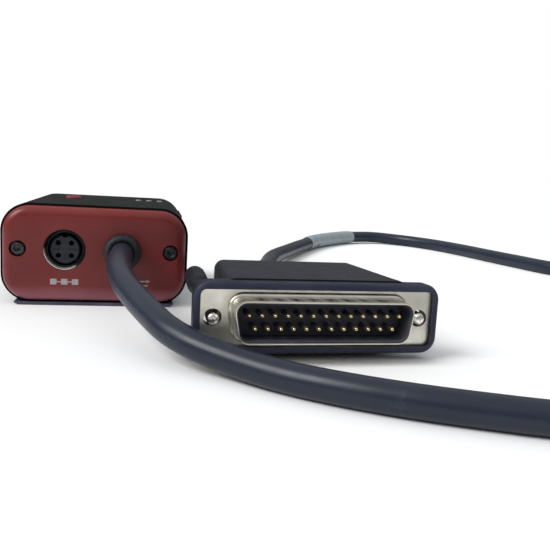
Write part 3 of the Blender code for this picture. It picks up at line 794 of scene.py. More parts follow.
MARK_Z = 6.8
MARK_STEP = 2.9
network = []
for places, half_long, half_high in (((-1, 0, 1), 0.85, 0.8), ((-0.5, 0.5), 0.61, 0.16)):
    for i in places:
        x = SOCKET_X + MARK_STEP * i
        network.append(strip(x - half_long, MARK_Z - half_high, x + half_long, MARK_Z + half_high))
signals = []
ARROWS_X = 13.2
for way in (1, -1):
    z = MARK_Z + 0.62 * way
    signals.append(strip(ARROWS_X - 1.3, z - 0.14, ARROWS_X + 1.3, z + 0.14))
    tip = ARROWS_X + 1.9 * way
    signals.append(printed([(tip, z), (tip - 1.0 * way, z + 0.5), (tip - 1.0 * way, z - 0.5)][::way]))
finished("port_marks", together(*network, *signals), ink, smooth=False)

# ---------------------------------------------------------------- front bezel and window
# A machined frame of black-painted aluminium on the shell's front, with an opening for a pane
# of dark infrared filter glass on a rubber seal; two cap screws in counterbores hold it.
BEZEL_BACK = SHELL_FRONT + 0.3
PANE = (34.8, 18.2)
bezel = moved(pad((WIDTH, HEIGHT), CORNER, [(0, 0)] + rounding(0.5, 0, HALF_LENGTH - BEZEL_BACK, 4),
                  steps=14), at(0, BEZEL_BACK, MID, "Y"))
openings = [
    moved(pad((32, 15), 3.0, [(0, -1), (0, 3.4), (-0.6, 4.1), (-0.6, 6)]), at(0, BEZEL_BACK, MID, "Y")),
    moved(pad((35.4, 18.8), 3.6, [(0, -2), (0, 2.4)]), at(0, BEZEL_BACK, MID, "Y")),
]
for side in (-1, 1):
    openings.append(moved(
        turned([(1.45, -1), (1.45, 2.1), (COUNTERBORE, 2.1), (COUNTERBORE, 3.75), (2.5, 4.05), (2.5, 5)]),
        at(side * SCREW_X, BEZEL_BACK, MID, "Y"),
    ))
finished("front_bezel", carved(bezel, openings), black, stands_for=["front_bezel"], soft=0.14)
bezel_screws = moved(
    grown(row, cap_screw, steel, Count=2, Start=(-SCREW_X, 0, 0), Step=(2 * SCREW_X, 0, 0)),
    at(0, HALF_LENGTH - 0.1, MID, "Y"),
)
finished("bezel_screws", bezel_screws, steel, stands_for=["front_screw_left", "front_screw_right"])

filter_glass = Paint("infrared_filter", "dark_filter", Specular_IOR_Level=0.6, Alpha=0.86)
filter_glass.shades(12.0, 2.0, None, (0.030, 0.002, 0.005), (0.055, 0.004, 0.009))
filter_glass.feed("Roughness", 0.04 + 0.08 * filter_glass.ramp(filter_glass.noise(5.0, 6.0), 0.5, 0.7))
pane = pad(PANE, 3.3, [(0.15, 0), (0, 0.15), (0, 1.35), (0.15, 1.5)])
finished("window_pane", moved(pane, at(0, HALF_LENGTH - 4, MID, "Y")), filter_glass,
         stands_for=["front_window"])
seal = pad(PANE, 3.3, [(0.1, 0), (0, 0.2), (0.1, 0.4), (1.2, 0.4), (1.3, 0.2), (1.2, 0)], closed=True)
finished("window_seal", moved(seal, at(0, HALF_LENGTH - 2.25, MID, "Y")), rubber,
         stands_for=["window_seal"])

# ---------------------------------------------------------------- teach button and status lights
# A red silicone button in a slot of the top, which presses a small tactile switch, and three
# clear light pipes over the status lamps.  Switch and lamps sit on their own board.
red_rubber = Paint("red_silicone", "red_button", Specular_IOR_Level=0.35)
red_rubber.shades(2.0, 3.0, (0.35, 0.7), (0.17, 0.012, 0.022), (0.26, 0.025, 0.038))
red_rubber.gloss(0.42, 0.2, 1.0, 3.0).grain(0.25, 2.0, 0.02, 0.4)
cap_edge = [(-0.9, -2.7), (-0.9, -2.15), (0.0, -2.05)] + rounding(0.7, 0.0, 0.45, 5)[1:]
button_dish = pad((2.2, 5.4), 1.08, [(0.0, 0.3), (-0.45, 0.6)])
button_cap = carved(pad((5.0, 8.4), 2.45, cap_edge), [button_dish])
finished("teach_button", moved(button_cap, at(*BUTTON, BODY_TOP)), red_rubber, body="button",
         stands_for=["teach_button"])

nylon = Paint("black_nylon", "black_nylon", Specular_IOR_Level=0.35)
nylon.shades(2.6, 3.0, (0.35, 0.7), (0.011, 0.0125, 0.019), (0.021, 0.0235, 0.033))
nylon.gloss(0.40, 0.22, 1.2, 4.0).grain(0.18, 2.0, 0.018, 0.4)
plunger = turned([(0.8, -3.7), (1.1, -3.55), (1.1, -3.05), (1.0, -3.0)], 24)
finished("switch_plunger", moved(plunger, at(*BUTTON, BODY_TOP)), nylon, body="button",
         stands_for=["switch_plunger"])
switch = carved(pad((6, 6), 0.5, [(0, 0), (0, 0.6), (0.1, 0.7)], steps=3), [rod(1.4, -1, 2)])
finished("switch_body", moved(switch, at(*BUTTON, 24.0)), nylon, stands_for=["switch_body"])

clear = Paint("light_pipe", "light_guide", Specular_IOR_Level=0.5, Transmission_Weight=0.35, IOR=1.49)
clear.shades(0.8, 2.0, None, (0.33, 0.36, 0.35), (0.50, 0.54, 0.52))
clear.gloss(0.18, 0.2, 0.6, 3.0)
pipe = turned([(1.0, 25.4), (1.0, BODY_TOP - 0.05), (0.93, BODY_TOP + 0.08), (0.55, BODY_TOP + 0.18)], 28)
light_step = (LIGHTS_X[1] - LIGHTS_X[0], 0, 0)
pipes = grown(row, pipe, clear, Count=3, Start=(LIGHTS_X[0], LIGHTS_Y, 0), Step=light_step)
bridge = block((9.0, 2.4, 0.9), (LIGHTS_X[1], LIGHTS_Y, 25.6))
finished("light_pipes", carved(bridge, joins=[pipes]), clear, stands_for=["light_guide"], soft=0.08)
lamp = together(
    pad((1.9, 1.5), 0.2, [(0, 0), (0, 0.35), (0.1, 0.4)], steps=2),
    pad((1.3, 1.1), 0.3, [(0, 0.3), (0.1, 0.58)], steps=2),
)
lamps = grown(row, lamp, clear, Count=3, Start=(LIGHTS_X[0], LIGHTS_Y, 24.1), Step=light_step)
finished("status_lamps", lamps, clear, stands_for=["status_leds"])

board = Paint("circuit_board", "circuit_board", Specular_IOR_Level=0.5)
tracks = board.node("ShaderNodeTexBrick", {"offset": 0.37, "squash": 0.6}, {
    "Vector": board.place(), "Scale": 420.0, "Mortar Size": 0.08, "Brick Width": 1.6, "Row Height": 0.42,
}, "Fac")
board.feed("Base Color", board.blend(
    tracks * 0.7 + 0.3 * board.noise(3.0, 2.0), (0.008, 0.075, 0.030), (0.025, 0.150, 0.060)
))
board.gloss(0.30, 0.2, 0.8, 3.0)
board.relief(tracks, 0.03, 0.5)


def circuit_board(name, size, centre):
    """A board with drilled corners that stands for its CAD node."""
    thin = size.index(min(size))
    long = [side / 2 - 1.6 for side in size]
    drills = []
    for i in (-1, 1):
        for j in (-1, 1):
            spot = [i * long[0], i * long[1], j * long[2]]
            if thin == 2:
                spot = [i * long[0], j * long[1], 0]
            spot[thin] = 0
            axis = ("X", "Y", "Z")[thin]
            drills.append(moved(rod(0.6, -3, 3, 16), at(*(Vector(spot) + Vector(centre)), axis)))
    finished(name, carved(block(size, centre), drills), board, stands_for=[name], soft=0.08)


circuit_board("indicator_board", (43.0, 20.0, 1.0), (0, 2.5, 23.2))

# ---------------------------------------------------------------- network socket
# A four-pole round socket: a nickel-plated barrel with an inner thread stands in the cover; a
# black moulded insert with a key notch carries four gold contacts, and a hexagon nut on a
# rubber washer clamps it from inside.
plated = Paint("nickel_plate", "nickel", Metallic=1.0)
plated.shades(3.2, 4.0, (0.32, 0.72), (0.47, 0.44, 0.385), (0.66, 0.63, 0.57))
plated.gloss(0.19, 0.20, 1.4, 5.0).grain(0.5, 3.0, 0.012, 0.3)
thread = []
for turn in range(4):
    crest = 25.5 + 0.42 * turn
    thread += [(5.1, crest), (5.24, crest + 0.2)]
barrel = [(5.5, 15.1), (5.6, 15.3), (5.6, 22.5), (5.55, 22.6), (5.55, 27.2), (5.5, 27.42), (5.38, 27.45)]
barrel += [(5.14, 27.1)]
barrel += thread[::-1] + [(5.2, 25.4), (5.2, 19.0), (4.4, 19.0), (4.4, 15.0), (5.5, 15.0)]
shaded_barrel = Paint("socket_plate", "nickel", Metallic=1.0)
reach = shaded_barrel.place((1 / MM, 1 / MM, 1 / MM))
shaded_barrel_x = shaded_barrel.part(reach, "X") - SOCKET_X
shaded_barrel_z = shaded_barrel.part(reach, "Z") - PORT_Z
# painted highlight and painted shade: the plated barrel stays bright at its lower left and turns almost
# black towards the top and the right
painted_rim_shade = shaded_barrel.ramp(shaded_barrel_z + 0.55 * shaded_barrel_x + 2.0 * shaded_barrel.noise(1.6, 4.0), -3.4, -1.2)
shaded_barrel.feed("Base Color", shaded_barrel.blend(painted_rim_shade, (0.80, 0.76, 0.68), (0.035, 0.035, 0.038)))
shaded_barrel.gloss(0.20, 0.22, 1.4, 5.0).grain(0.5, 3.0, 0.012, 0.3)
finished("socket_barrel", moved(turned(barrel, 72, closed=True), at(SOCKET_X, 0, PORT_Z, "-Y")),
         shaded_barrel, stands_for=["ethernet_shell"])

CONTACT = 1.77
spots = [(i * CONTACT, k * CONTACT) for i in (-1, 1) for k in (-1, 1)]
core_cuts = [moved(turned([(0.66, -1), (0.66, 26.0), (0.86, 26.25), (0.9, 27)], 24), at(x, -y, 0))
             for x, y in spots]
core_cuts += [block((1.2, 1.5, 9.0), (0, 4.1, 25.0))]
core_cuts += [block((2.1, 0.22, 0.5), (i * 2.25, 0.0, 26.2)) for i in (-1, 1)]
core_cuts += [block((0.22, 1.0, 0.5), (0, -1.9, 26.2))]
core = carved(turned([(3.9, 14.6), (4.0, 14.8), (4.0, 25.9), (3.7, 26.2)], 56), core_cuts)
liner = turned([(5.14, 19.2), (5.14, 25.2), (5.0, 25.5), (4.72, 25.5), (4.6, 25.2), (4.6, 19.2)], 56,
               closed=True)
finished("socket_insert", moved(together(core, liner), at(SOCKET_X, 0, PORT_Z, "-Y")), nylon,
         stands_for=["ethernet_insert"], soft=0.05)

gilt = Paint("gold_plate", "gold", Metallic=1.0)
gilt.shades(0.9, 3.0, None, (0.56, 0.40, 0.13), (0.80, 0.63, 0.30))
gilt.gloss(0.20, 0.16, 0.5, 3.0).grain(0.2, 2.0, 0.008, 0.3)

# Copies of a piece on a ring about Z, each turned to face outwards
ring = Recipe("ring_of_pieces", [
    ("Piece", "Object"), ("Finish", "Material"), ("Count", "Int"), ("Radius", "Float"), ("Turn", "Float"),
])
spokes = ring.node("GeometryNodeMeshCircle", None, {
    "Vertices": ring.inputs["Count"], "Radius": ring.inputs["Radius"],
})
which = ring.node("GeometryNodeInputIndex")
angle = ring.node("ShaderNodeMath", {"operation": "MULTIPLY"}, {0: which, 1: ring.inputs["Turn"]})
ring.end(ring.copies(spokes, ring.node("ShaderNodeCombineXYZ", None, {"Z": angle})))

contact = turned(
    [(0.3, 13.6), (0.42, 13.6), (0.42, 15.0), (0.42, 24.0), (0.3, 23.9)], 16, closed=True
)
contacts = grown(ring, contact, gilt, Count=4, Radius=CONTACT * math.sqrt(2), Turn=math.pi / 2)
contacts = moved(contacts, Matrix.Rotation(math.radians(45), 4, "Z"))
carrier = pad((6.0, 6.0), 0.6, [(0, 13.3), (0, 14.1)], steps=3)
finished("socket_contacts", moved(together(contacts, carrier), at(SOCKET_X, 0, PORT_Z, "-Y")), gilt,
         stands_for=["ethernet_contacts"])
washer = turned([
    (7.3, 22.9), (7.4, 23.0), (7.4, 23.3), (7.3, 23.4), (6.2, 23.4), (6.1, 23.15), (6.2, 22.9),
], 48, closed=True)
finished("socket_washer", moved(washer, at(SOCKET_X, 0, PORT_Z, "-Y")), rubber,
         stands_for=["ethernet_washer"])


def hexagon_nut(across, bore, low, high):
    """A hexagon nut on Z, by its corner radius, bore radius and two faces."""
    return carved(rod(across, low, high, 6), [rod(bore, low - 1, high + 1, 48)])


socket_nut = moved(hexagon_nut(7.9, 6.0, 20.0, 22.6), at(SOCKET_X, 0, PORT_Z, "-Y"))
finished("socket_nut", socket_nut, plated, stands_for=["ethernet_nut"], soft=0.25)

# ---------------------------------------------------------------- cable gland
# A soft black grommet with a domed nose grips the lead in the cover, clamped by a nylon nut
# inside, where the lead's cores run on to a header on the interface board.
grommet = Paint("grommet_rubber", "slate_moulding", Specular_IOR_Level=0.3)
grommet.shades(2.0, 3.0, (0.35, 0.7), (0.009, 0.010, 0.012), (0.021, 0.022, 0.025))
grommet.gloss(0.46, 0.2, 1.2, 3.0).grain(0.3, 3.0, 0.03, 0.5)
nose = [(3.14, 19.6), (4.2, 19.6), (4.2, 27.75), (5.0, 27.8), (5.1, 28.1), (5.1, 29.3), (5.02, 30.0),
        (4.8, 30.7), (4.45, 31.2), (4.05, 31.45), (3.6, 31.5), (3.28, 31.35), (3.14, 31.0)]
finished("gland", moved(turned(nose, 64, closed=True), at(GLAND_X, 0, PORT_Z, "-Y")), grommet,
         stands_for=["gland_body"])
gland_nut = moved(hexagon_nut(6.4, 4.5, 20.6, 23.2), at(GLAND_X, 0, PORT_Z, "-Y"))
finished("gland_nut", gland_nut, nylon, stands_for=["gland_nut"], soft=0.25)

cores = Paint("core_insulation", "cable_jacket", Specular_IOR_Level=0.4)
cores.feed("Base Color", cores.blend(
    cores.ramp(cores.noise(0.9, 0.0, stretch=(1, 0.1, 1)), 0.4, 0.6), (0.05, 0.06, 0.09), (0.20, 0.19, 0.17)
))
cores.gloss(0.35, 0.2, 0.7, 2.0)
strand = turned([(0.42, 16.2), (0.5, 16.4), (0.5, 22.2), (0.42, 22.4)], 12)
bundle = together(
    grown(ring, strand.copy(), cores, Count=8, Radius=1.62, Turn=0.0),
    grown(ring, strand, cores, Count=3, Radius=0.6, Turn=0.0),
)
finished("lead_cores", moved(bundle, at(GLAND_X, 0, PORT_Z, "-Y")), cores, stands_for=["conductor_bundle"])
header_slots = [block((1.1, 1.2, 1.6), (GLAND_X + 1.9 * i, -15.6, PORT_Z + 1.8 * k))
                for i in (-2, -1, 0, 1, 2) for k in (-1, 1)]
header = carved(block((12.0, 2.8, 7.0), (GLAND_X, -14.5, PORT_Z)), header_slots)
finished("cable_header", header, nylon, stands_for=["cable_header"], soft=0.15)

# ---------------------------------------------------------------- boards
# Glass-fibre boards with a green mask.  The interface board stands behind the ports, the main
# board lies in the shell's lower slots with its processor, and all carry small soldered parts.
circuit_board("interface_board", (42.0, 1.6, 19.3), (0, -12.0, 15.4))
circuit_board("main_board", (43.0, 32.0, 1.2), (0, 5.5, 6.8))

header_body = carved(block((20.0, 4.0, 4.6), (0, 0, 10.0)), [block((18.4, 2.4, 4.0), (0, 0, 11.6))])
header_pin = block((0.45, 0.45, 3.4), (0, 0, 10.4))
finished("board_header", moved(header_body, at(0, -8.9, 0)), nylon, stands_for=["board_header"], soft=0.1)
header_pins = grown(row, header_pin, gilt, Count=18, Start=(-8.5, -8.9, 0), Step=(1.0, 0, 0))
finished("header_pins", header_pins, gilt)

chip_lid = pad((12.0, 12.0), 0.3, [(0, 0.0), (0, 0.8), (0.2, 1.0)], steps=2)
chip_dot = rod(0.5, 0.9, 2.0, 20)
finished("processor_chip", moved(carved(chip_lid, [moved(chip_dot, at(-4.6, 4.6, 0))]), at(-9.5, 8.0, 7.7)),
         nylon, stands_for=["processor_chip"])

# Small parts on a grid over a board: some places stay empty and the sizes vary
parts = Recipe("parts_on_a_board", [
    ("Piece", "Object"), ("Finish", "Material"), ("Wide", "Float"), ("Deep", "Float"),
    ("Columns", "Int"), ("Rows", "Int"), ("Filled", "Float"), ("Seed", "Int"),
])
grid = parts.node("GeometryNodeMeshGrid", None, {
    "Size X": parts.inputs["Wide"], "Size Y": parts.inputs["Deep"],
    "Vertices X": parts.inputs["Columns"], "Vertices Y": parts.inputs["Rows"],
})
kept = parts.node("FunctionNodeRandomValue", {"data_type": "BOOLEAN"}, {
    "Probability": parts.inputs["Filled"], "Seed": parts.inputs["Seed"],
}, 3)
sizes = parts.node("FunctionNodeRandomValue", {"data_type": "FLOAT_VECTOR"}, {
    0: (0.7, 0.7, 0.6), 1: (1.5, 1.3, 1.2), "Seed": parts.inputs["Seed"],
})
chosen = parts.node("GeometryNodeSeparateGeometry", {"domain": "POINT"}, {
    "Geometry": grid, "Selection": kept,
})
parts.end(parts.copies(parts.node("GeometryNodeMeshToPoints", None, {"Mesh": chosen}), size=sizes))
small_part = together(
    pad((1.0, 0.6), 0.06, [(0, 0), (0, 0.36), (0.05, 0.4)], steps=1),
    block((0.24, 0.62, 0.42), (-0.5, 0, 0.21)), block((0.24, 0.62, 0.42), (0.5, 0, 0.21)),
)
for name, seed, wide, deep, spot in (
    ("main_board_parts", 4, 15.0, 9.0, at(8.5, 14.0, 7.4)),
    ("interface_board_parts", 9, 34.0, 14.0, at(0, -11.2, 15.4, "Y")),
    ("indicator_board_parts", 2, 12.0, 6.0, at(-13.0, 0.5, 23.7)),
):
    made = grown(parts, small_part.copy(), nylon, Wide=wide, Deep=deep, Columns=int(wide / 2),
                 Rows=int(deep / 2), Filled=0.6, Seed=seed)
    finished(name, moved(made, spot), nylon, smooth=False)
small_part.free()

# ---------------------------------------------------------------- scanner drive and optics
# A flat cast plate on four legs carries the spindle motor, a code disc and a square mirror
# that spin on one shaft, and an upright wall with the laser and the receiver's barrel.
cast = Paint("cast_alloy", "cast_alloy", Metallic=0.9)
cast.shades(3.0, 4.0, None, (0.26, 0.27, 0.28), (0.42, 0.43, 0.44))
cast.gloss(0.38, 0.2, 0.8, 3.0).grain(0.3, 3.0, 0.03, 0.5)
mirror_coat = Paint("mirror_coat", "mirror_coat", Metallic=1.0)
mirror_coat.shades(6.0, 3.0, None, (0.80, 0.81, 0.83), (0.88, 0.89, 0.9))
mirror_coat.feed("Roughness", 0.02 + 0.08 * mirror_coat.ramp(mirror_coat.noise(4.0, 5.0), 0.55, 0.7))
lens = Paint("coated_lens", "lens_glass", Transmission_Weight=0.9, IOR=1.6, Coat_Weight=0.6)
lens.shades(3.0, 2.0, None, (0.62, 0.74, 0.86), (0.80, 0.88, 0.95))
lens.gloss(0.02, 0.05, 1.0, 3.0)

MOTOR = (5.5, 6.5)
LASER = (12.6, 17.5)             # Y and Z of the laser's axis, and of the receiver's
RECEIVER = (3.2, 17.0)
CODE_SLOTS = 32
frame_legs = [moved(rod(1.0, 7.7, 11.0, 20), at(x, y, 0)) for y in (-5.5, 19.5) for x in (-16.4, 16.4)]
frame_plate = moved(pad((34.8, 27.0), 2.2, [(0, 0), (0, 1.3), (0.2, 1.5)], steps=4), at(0, 7.0, 10.2))
wall = block((1.5, 23.0, 10.4), (-16.65, 5.0, 16.2))
frame_holes = [
    moved(rod(8.4, 9.0, 13.0, 56), at(*MOTOR, 0)),
    moved(rod(3.1, -20, -10, 40), at(0, *RECEIVER, "X")),
    moved(rod(2.7, -20, -10, 40), at(0, *LASER, "X")),
]
finished("optics_plate", carved(frame_plate, frame_holes, frame_legs + [wall]), cast,
         stands_for=["optics_frame"], soft=0.15)

can = turned([(7.9, 7.9), (8.0, 8.1), (8.0, 11.9), (7.8, 12.2), (3.0, 12.2), (3.0, 7.9)], 64, closed=True)
can_slots = [moved(block((3.4, 1.0, 6), (5.9, 0, 12.0)), Matrix.Rotation(math.radians(40 * i), 4, "Z"))
             for i in range(9)]
finished("motor_can", moved(carved(can, can_slots), at(*MOTOR, 0)), steel, stands_for=["motor_stator"])
race = turned([(2.6, 9.0), (2.7, 9.1), (2.7, 11.9), (2.6, 12.0), (2.3, 12.0), (2.25, 11.8), (1.85, 11.8),
               (1.8, 12.0), (1.5, 12.0), (1.5, 9.0)], 48, closed=True)
finished("motor_race", moved(race, at(*MOTOR, 0)), plated, stands_for=["motor_bearing"])
sensor = carved(pad((2.0, 3.0), 0.15, [(0, 0), (0, 0.6)], steps=2), [block((0.8, 1.2, 0.4), (0, 0, 0.6))])
finished("code_reader", moved(sensor, at(MOTOR[0] - 9.6, MOTOR[1], 12.0)), nylon,
         stands_for=["encoder_sensor"])

shaft = turned([(1.0, 8.4), (1.2, 8.6), (1.2, 22.0), (1.05, 22.2)], 32)
finished("spindle", moved(shaft, at(*MOTOR, 0)), plated, body="mirror_rotor", stands_for=["rotor_shaft"])
facets = pad((14.26, 14.26), 1.6, [(0.15, 13.9), (0, 14.05), (0, 21.25), (0.15, 21.4)], steps=1)
facets = carved(facets, [rod(1.5, 13, 23)])
finished("facet_mirror", moved(facets, at(*MOTOR, 0)), mirror_coat, body="mirror_rotor",
         stands_for=["scan_mirror"], smooth=False)
clamp = turned(
    [(1.5, 21.7), (4.1, 21.7), (4.2, 21.8), (4.2, 22.1), (4.0, 22.2), (1.5, 22.2)], 48, closed=True
)
clamp = carved(clamp, [moved(rod(0.5, 21, 23, 16), at(x, 0, 0)) for x in (2.9, -2.9)])
finished("clamp_ring", moved(clamp, at(*MOTOR, 0)), cast, body="mirror_rotor", stands_for=["mirror_clamp"])
code_slots = grown(ring, block((1.6, 0.5, 1.0), (0, 0, 0)), steel, Count=CODE_SLOTS, Radius=9.3,
                   Turn=2 * math.pi / CODE_SLOTS)
disc = carved(turned([(10.55, 12.9), (10.6, 13.0), (10.6, 13.2), (10.55, 13.3), (1.5, 13.3), (1.5, 12.9)],
                     80, closed=True), [moved(code_slots, at(0, 0, 13.1))])
finished("code_disc", moved(disc, at(*MOTOR, 0)), plated, body="mirror_rotor", stands_for=["encoder_disc"])


def optical_barrel(name, outer, inner, long, place, node):
    """A turned barrel with stop rings inside against stray light."""
    profile = [(outer, 0), (outer, long - 0.2), (outer - 0.2, long), (inner + 0.1, long)]
    for k in range(int(long / 1.6)):
        h = long - 0.5 - 1.6 * k
        profile += [(inner, h), (inner + 0.12, h - 0.5)]
    finished(name, moved(turned(profile + [(inner, 0)], 48, closed=True), place), steel, stands_for=[node])


optical_barrel("laser_tube", 3.2, 2.85, 6.9, at(-15.5, *LASER, "X"), "laser_barrel")
optical_barrel("receiver_tube", 5.0, 4.6, 9.6, at(-15.5, *RECEIVER, "X"), "receiver_barrel")
diode = turned([(2.4, 0), (2.4, 0.9), (1.8, 1.0), (1.8, 4.1), (1.5, 4.4), (0.6, 4.45), (0.5, 4.2)], 40)
finished("laser_can", moved(diode, at(-17.7, *LASER, "X")), gilt, stands_for=["laser_diode"])
glass = turned([(2.2, 0), (2.5, 0.15), (2.5, 1.1), (2.1, 1.3), (1.2, 1.45), (0.3, 1.5)], 40)
finished("collimator", moved(glass, at(-10.9, *LASER, "X")), lens, stands_for=["collimator_lens"])
glass = turned([(0.3, -8.8), (4.25, -8.4), (4.25, -7.6), (3.0, -6.9), (1.6, -6.5), (0.3, -6.32)], 56)
finished("receiver_glass", moved(glass, at(0, *RECEIVER, "X")), lens, stands_for=["receiver_lens"])
eye = turned([(2.6, 0), (2.6, 2.9), (2.3, 3.3), (1.5, 3.3), (1.4, 3.0)], 40)
finished("photo_eye", moved(eye, at(-17.7, *RECEIVER, "X")), nylon, stands_for=["photo_detector"])
circuit_board("detector_board", (1.0, 19.0, 9.6), (-18.5, 4.9, 16.7))

# ---------------------------------------------------------------- 25-pin plug
# A drawn steel shell, nickel plated, with a D-shaped collar that flares out of its flange and
# carries two rows of small pressed dimples; a black moulded insulator inside holds 25 gold
# pins in two rows.  The flange is trapped in the hood's mouth.
plug_place = Matrix.Translation(PLUG_PLACE) @ PLUG_TILT.to_4x4()
PIN_PITCH = 2.77
ROW_OFFSET = 1.42
JACK_X = 23.52
COLLAR = (20.2, 4.58, 2.5)       # half width, half height and corner radius of a D outline
COLLAR_FOOT = (21.2, 5.58, 3.5)


def dee(size, depth, inset=0.0, fine=8, long=60):
    """The connector's D outline as a ring of points at a depth, wide at the top."""
    half_wide, half_high, radius = size[0] - inset, size[1] - inset, max(size[2] - inset, 0.3)
    slope = math.tan(math.radians(10))
    low_wide = half_wide - 2 * half_high * slope
    corners = [
        (half_wide, half_high), (-half_wide, half_high), (-low_wide, -half_high), (low_wide, -half_high),
    ]
    ring = []
    for i, corner in enumerate(corners):
        here = Vector(corner)
        back = (Vector(corners[i - 1]) - here).normalized()
        ahead = (Vector(corners[(i + 1) % 4]) - here).normalized()
        half = math.acos(max(-1.0, min(1.0, back.dot(ahead)))) / 2
        centre = here + (back + ahead).normalized() * (radius / math.sin(half))
        first = here + back * (radius / math.tan(half)) - centre
        last = here + ahead * (radius / math.tan(half)) - centre
        sweep = first.angle_signed(last)
        for k in range(fine + 1):
            turn = -sweep * k / fine
            spoke = Vector((first.x * math.cos(turn) - first.y * math.sin(turn),
                            first.x * math.sin(turn) + first.y * math.cos(turn)))
            ring.append(centre + spoke)
    spread = []
    for i, here in enumerate(ring):
        ahead = ring[(i + 1) % len(ring)]
        spread.append(here)
        if (i + 1) % (fine + 1) == 0:
            spread += [here.lerp(ahead, k / long) for k in range(1, long)]
    return [Vector((p.x, depth, p.y)) for p in spread]


DIMPLES = 8
DIMPLE_STEP = 3.8
DIMPLE_DEPTH = 0.42


def dimpled(ring):
    """Presses the dimples into the collar's long sides, where a ring crosses them."""
    for p in ring:
        for i in range(DIMPLES):
            across = (p.x - (i - (DIMPLES - 1) / 2) * DIMPLE_STEP) / 0.95
            along = (p.y + 3.3) / 1.55
            far = across * across + along * along
            if far < 1 and abs(p.z) > 3:
                press = 1 - far
                p.z -= math.copysign(DIMPLE_DEPTH * press ** 2 * (3 - 2 * press), p.z)
    return ring


flare = [(0.0, 0.3), (0.05, -0.2), (0.25, -0.55), (0.6, -0.75), (0.9, -0.82), (0.98, -0.95)]
collar_rings = [dee(COLLAR_FOOT, depth, inset) for inset, depth in flare]
collar_rings += [dimpled(dee(COLLAR, -1.2 - 0.3 * k)) for k in range(15)]
collar_rings += [dee(COLLAR, -5.8), dee(COLLAR, -5.95, 0.07), dee(COLLAR, -6.0, 0.2),
                 dee(COLLAR, -5.95, 0.33), dee(COLLAR, -5.8, 0.4)]
collar_rings += [dee(COLLAR, depth, 0.4) for depth in (-3.0, 0.0, 0.85)]
collar_rings += [dee(COLLAR_FOOT, 0.85)]
collar = loft(collar_rings, closed=True)
flange = carved(
    moved(pad((53.04, 12.6), 1.0, [(0.12, 0), (0, 0.12), (0, 0.7), (0.1, 0.8)], steps=4), AXES["Y"]),
    [moved(rod(1.95, -2, 3, 40), at(side * JACK_X, 0, 0, "Y")) for side in (-1, 1)]
    + [loft([dee((20.5, 5.18, 3.1), -1), dee((20.5, 5.18, 3.1), 2)])],
)
plug_metal = Paint("nickel_shell", "nickel", Metallic=1.0)
# painted dark reflections lie between the dimples, on the collar's top only
plug_axes = [tuple(PLUG_TILT @ Vector(a)) for a in ((1 / MM, 0, 0), (0, 1 / MM, 0), (0, 0, 1 / MM))]


def plug_coordinate(paint, index):
    """A coordinate in the plug's own frame, in millimetres."""
    offset = MM * Vector(PLUG_PLACE).dot(Vector(plug_axes[index]))
    return paint.node("ShaderNodeVectorMath", {"operation": "DOT_PRODUCT"},
                      {0: paint.place(), 1: plug_axes[index]}, 1) - offset


collar_x, collar_y, collar_z = (plug_coordinate(plug_metal, index) for index in range(3))
wave = plug_metal.node("ShaderNodeMath", {"operation": "COSINE"}, {
    0: (collar_x - DIMPLE_STEP / 2 + 0.35 * collar_y) * (2 * math.pi / DIMPLE_STEP),
})
off_middle = plug_metal.node("ShaderNodeMath", {"operation": "ABSOLUTE"}, {0: collar_x})
on_top = plug_metal.ramp(collar_z, 3.9, 4.1) * plug_metal.ramp(off_middle, 16.5, 15.5)
on_top = on_top * plug_metal.ramp(collar_y, -5.3, -4.9) * plug_metal.ramp(collar_y, -1.2, -2.0)
painted_dimple_reflections = on_top * plug_metal.ramp(wave, 0.5, -0.3)
cloudy = plug_metal.ramp(plug_metal.noise(4.5, 4.0), 0.3, 0.7)
nickel = plug_metal.blend(cloudy, (0.66, 0.63, 0.545), (0.84, 0.81, 0.73))
plug_metal.feed("Base Color", plug_metal.blend(painted_dimple_reflections, nickel, (0.20, 0.17, 0.125)))
plug_metal.gloss(0.24, 0.20, 1.8, 5.0).grain(0.9, 3.0, 0.02, 0.4)
plug_shell = finished("connector_shell", together(collar, flange), plug_metal,
                      stands_for=["plug_shell"], place=plug_place)

moulded = Paint("insulator_nylon", "black_nylon", Specular_IOR_Level=0.3)
moulded.shades(2.2, 3.0, (0.35, 0.7), (0.048, 0.049, 0.064), (0.072, 0.073, 0.090))
moulded.gloss(0.36, 0.2, 1.4, 3.0).grain(0.2, 2.0, 0.015, 0.4)
pin_rows = ((13, -6.0, ROW_OFFSET), (12, -5.5, -ROW_OFFSET))
INSERT = (19.45, 3.85, 1.8)
insert_face = loft([dee(INSERT, 8.0, 0.1), dee(INSERT, 7.9), dee(INSERT, -0.25), dee(INSERT, -0.4, 0.15)])
# a thin black sleeve inside the collar stands for the shade on the collar's inner wall
SHADE_LINER = (19.75, 4.13, 2.05)
shade_liner = loft([
    dee(SHADE_LINER, -0.2), dee(SHADE_LINER, -5.55), dee(SHADE_LINER, -5.6, 0.13),
    dee((19.5, 3.9, 1.85), -5.5), dee((19.47, 3.87, 1.82), -0.2),
], closed=True)
wells = []
for count, first, z in pin_rows:
    well = turned([(0.54, 10.5), (0.54, -0.2), (0.62, -0.42), (0.64, -0.6)], 16)
    start = (first * PIN_PITCH, -z, 0)
    spots = grown(row, well, moulded, Count=count, Start=start, Step=(PIN_PITCH, 0, 0))
    wells.append(moved(spots, AXES["Y"]))
insulator = finished("plug_insert", together(carved(insert_face, wells), shade_liner), moulded,
                     stands_for=["plug_insulator"], place=plug_place)

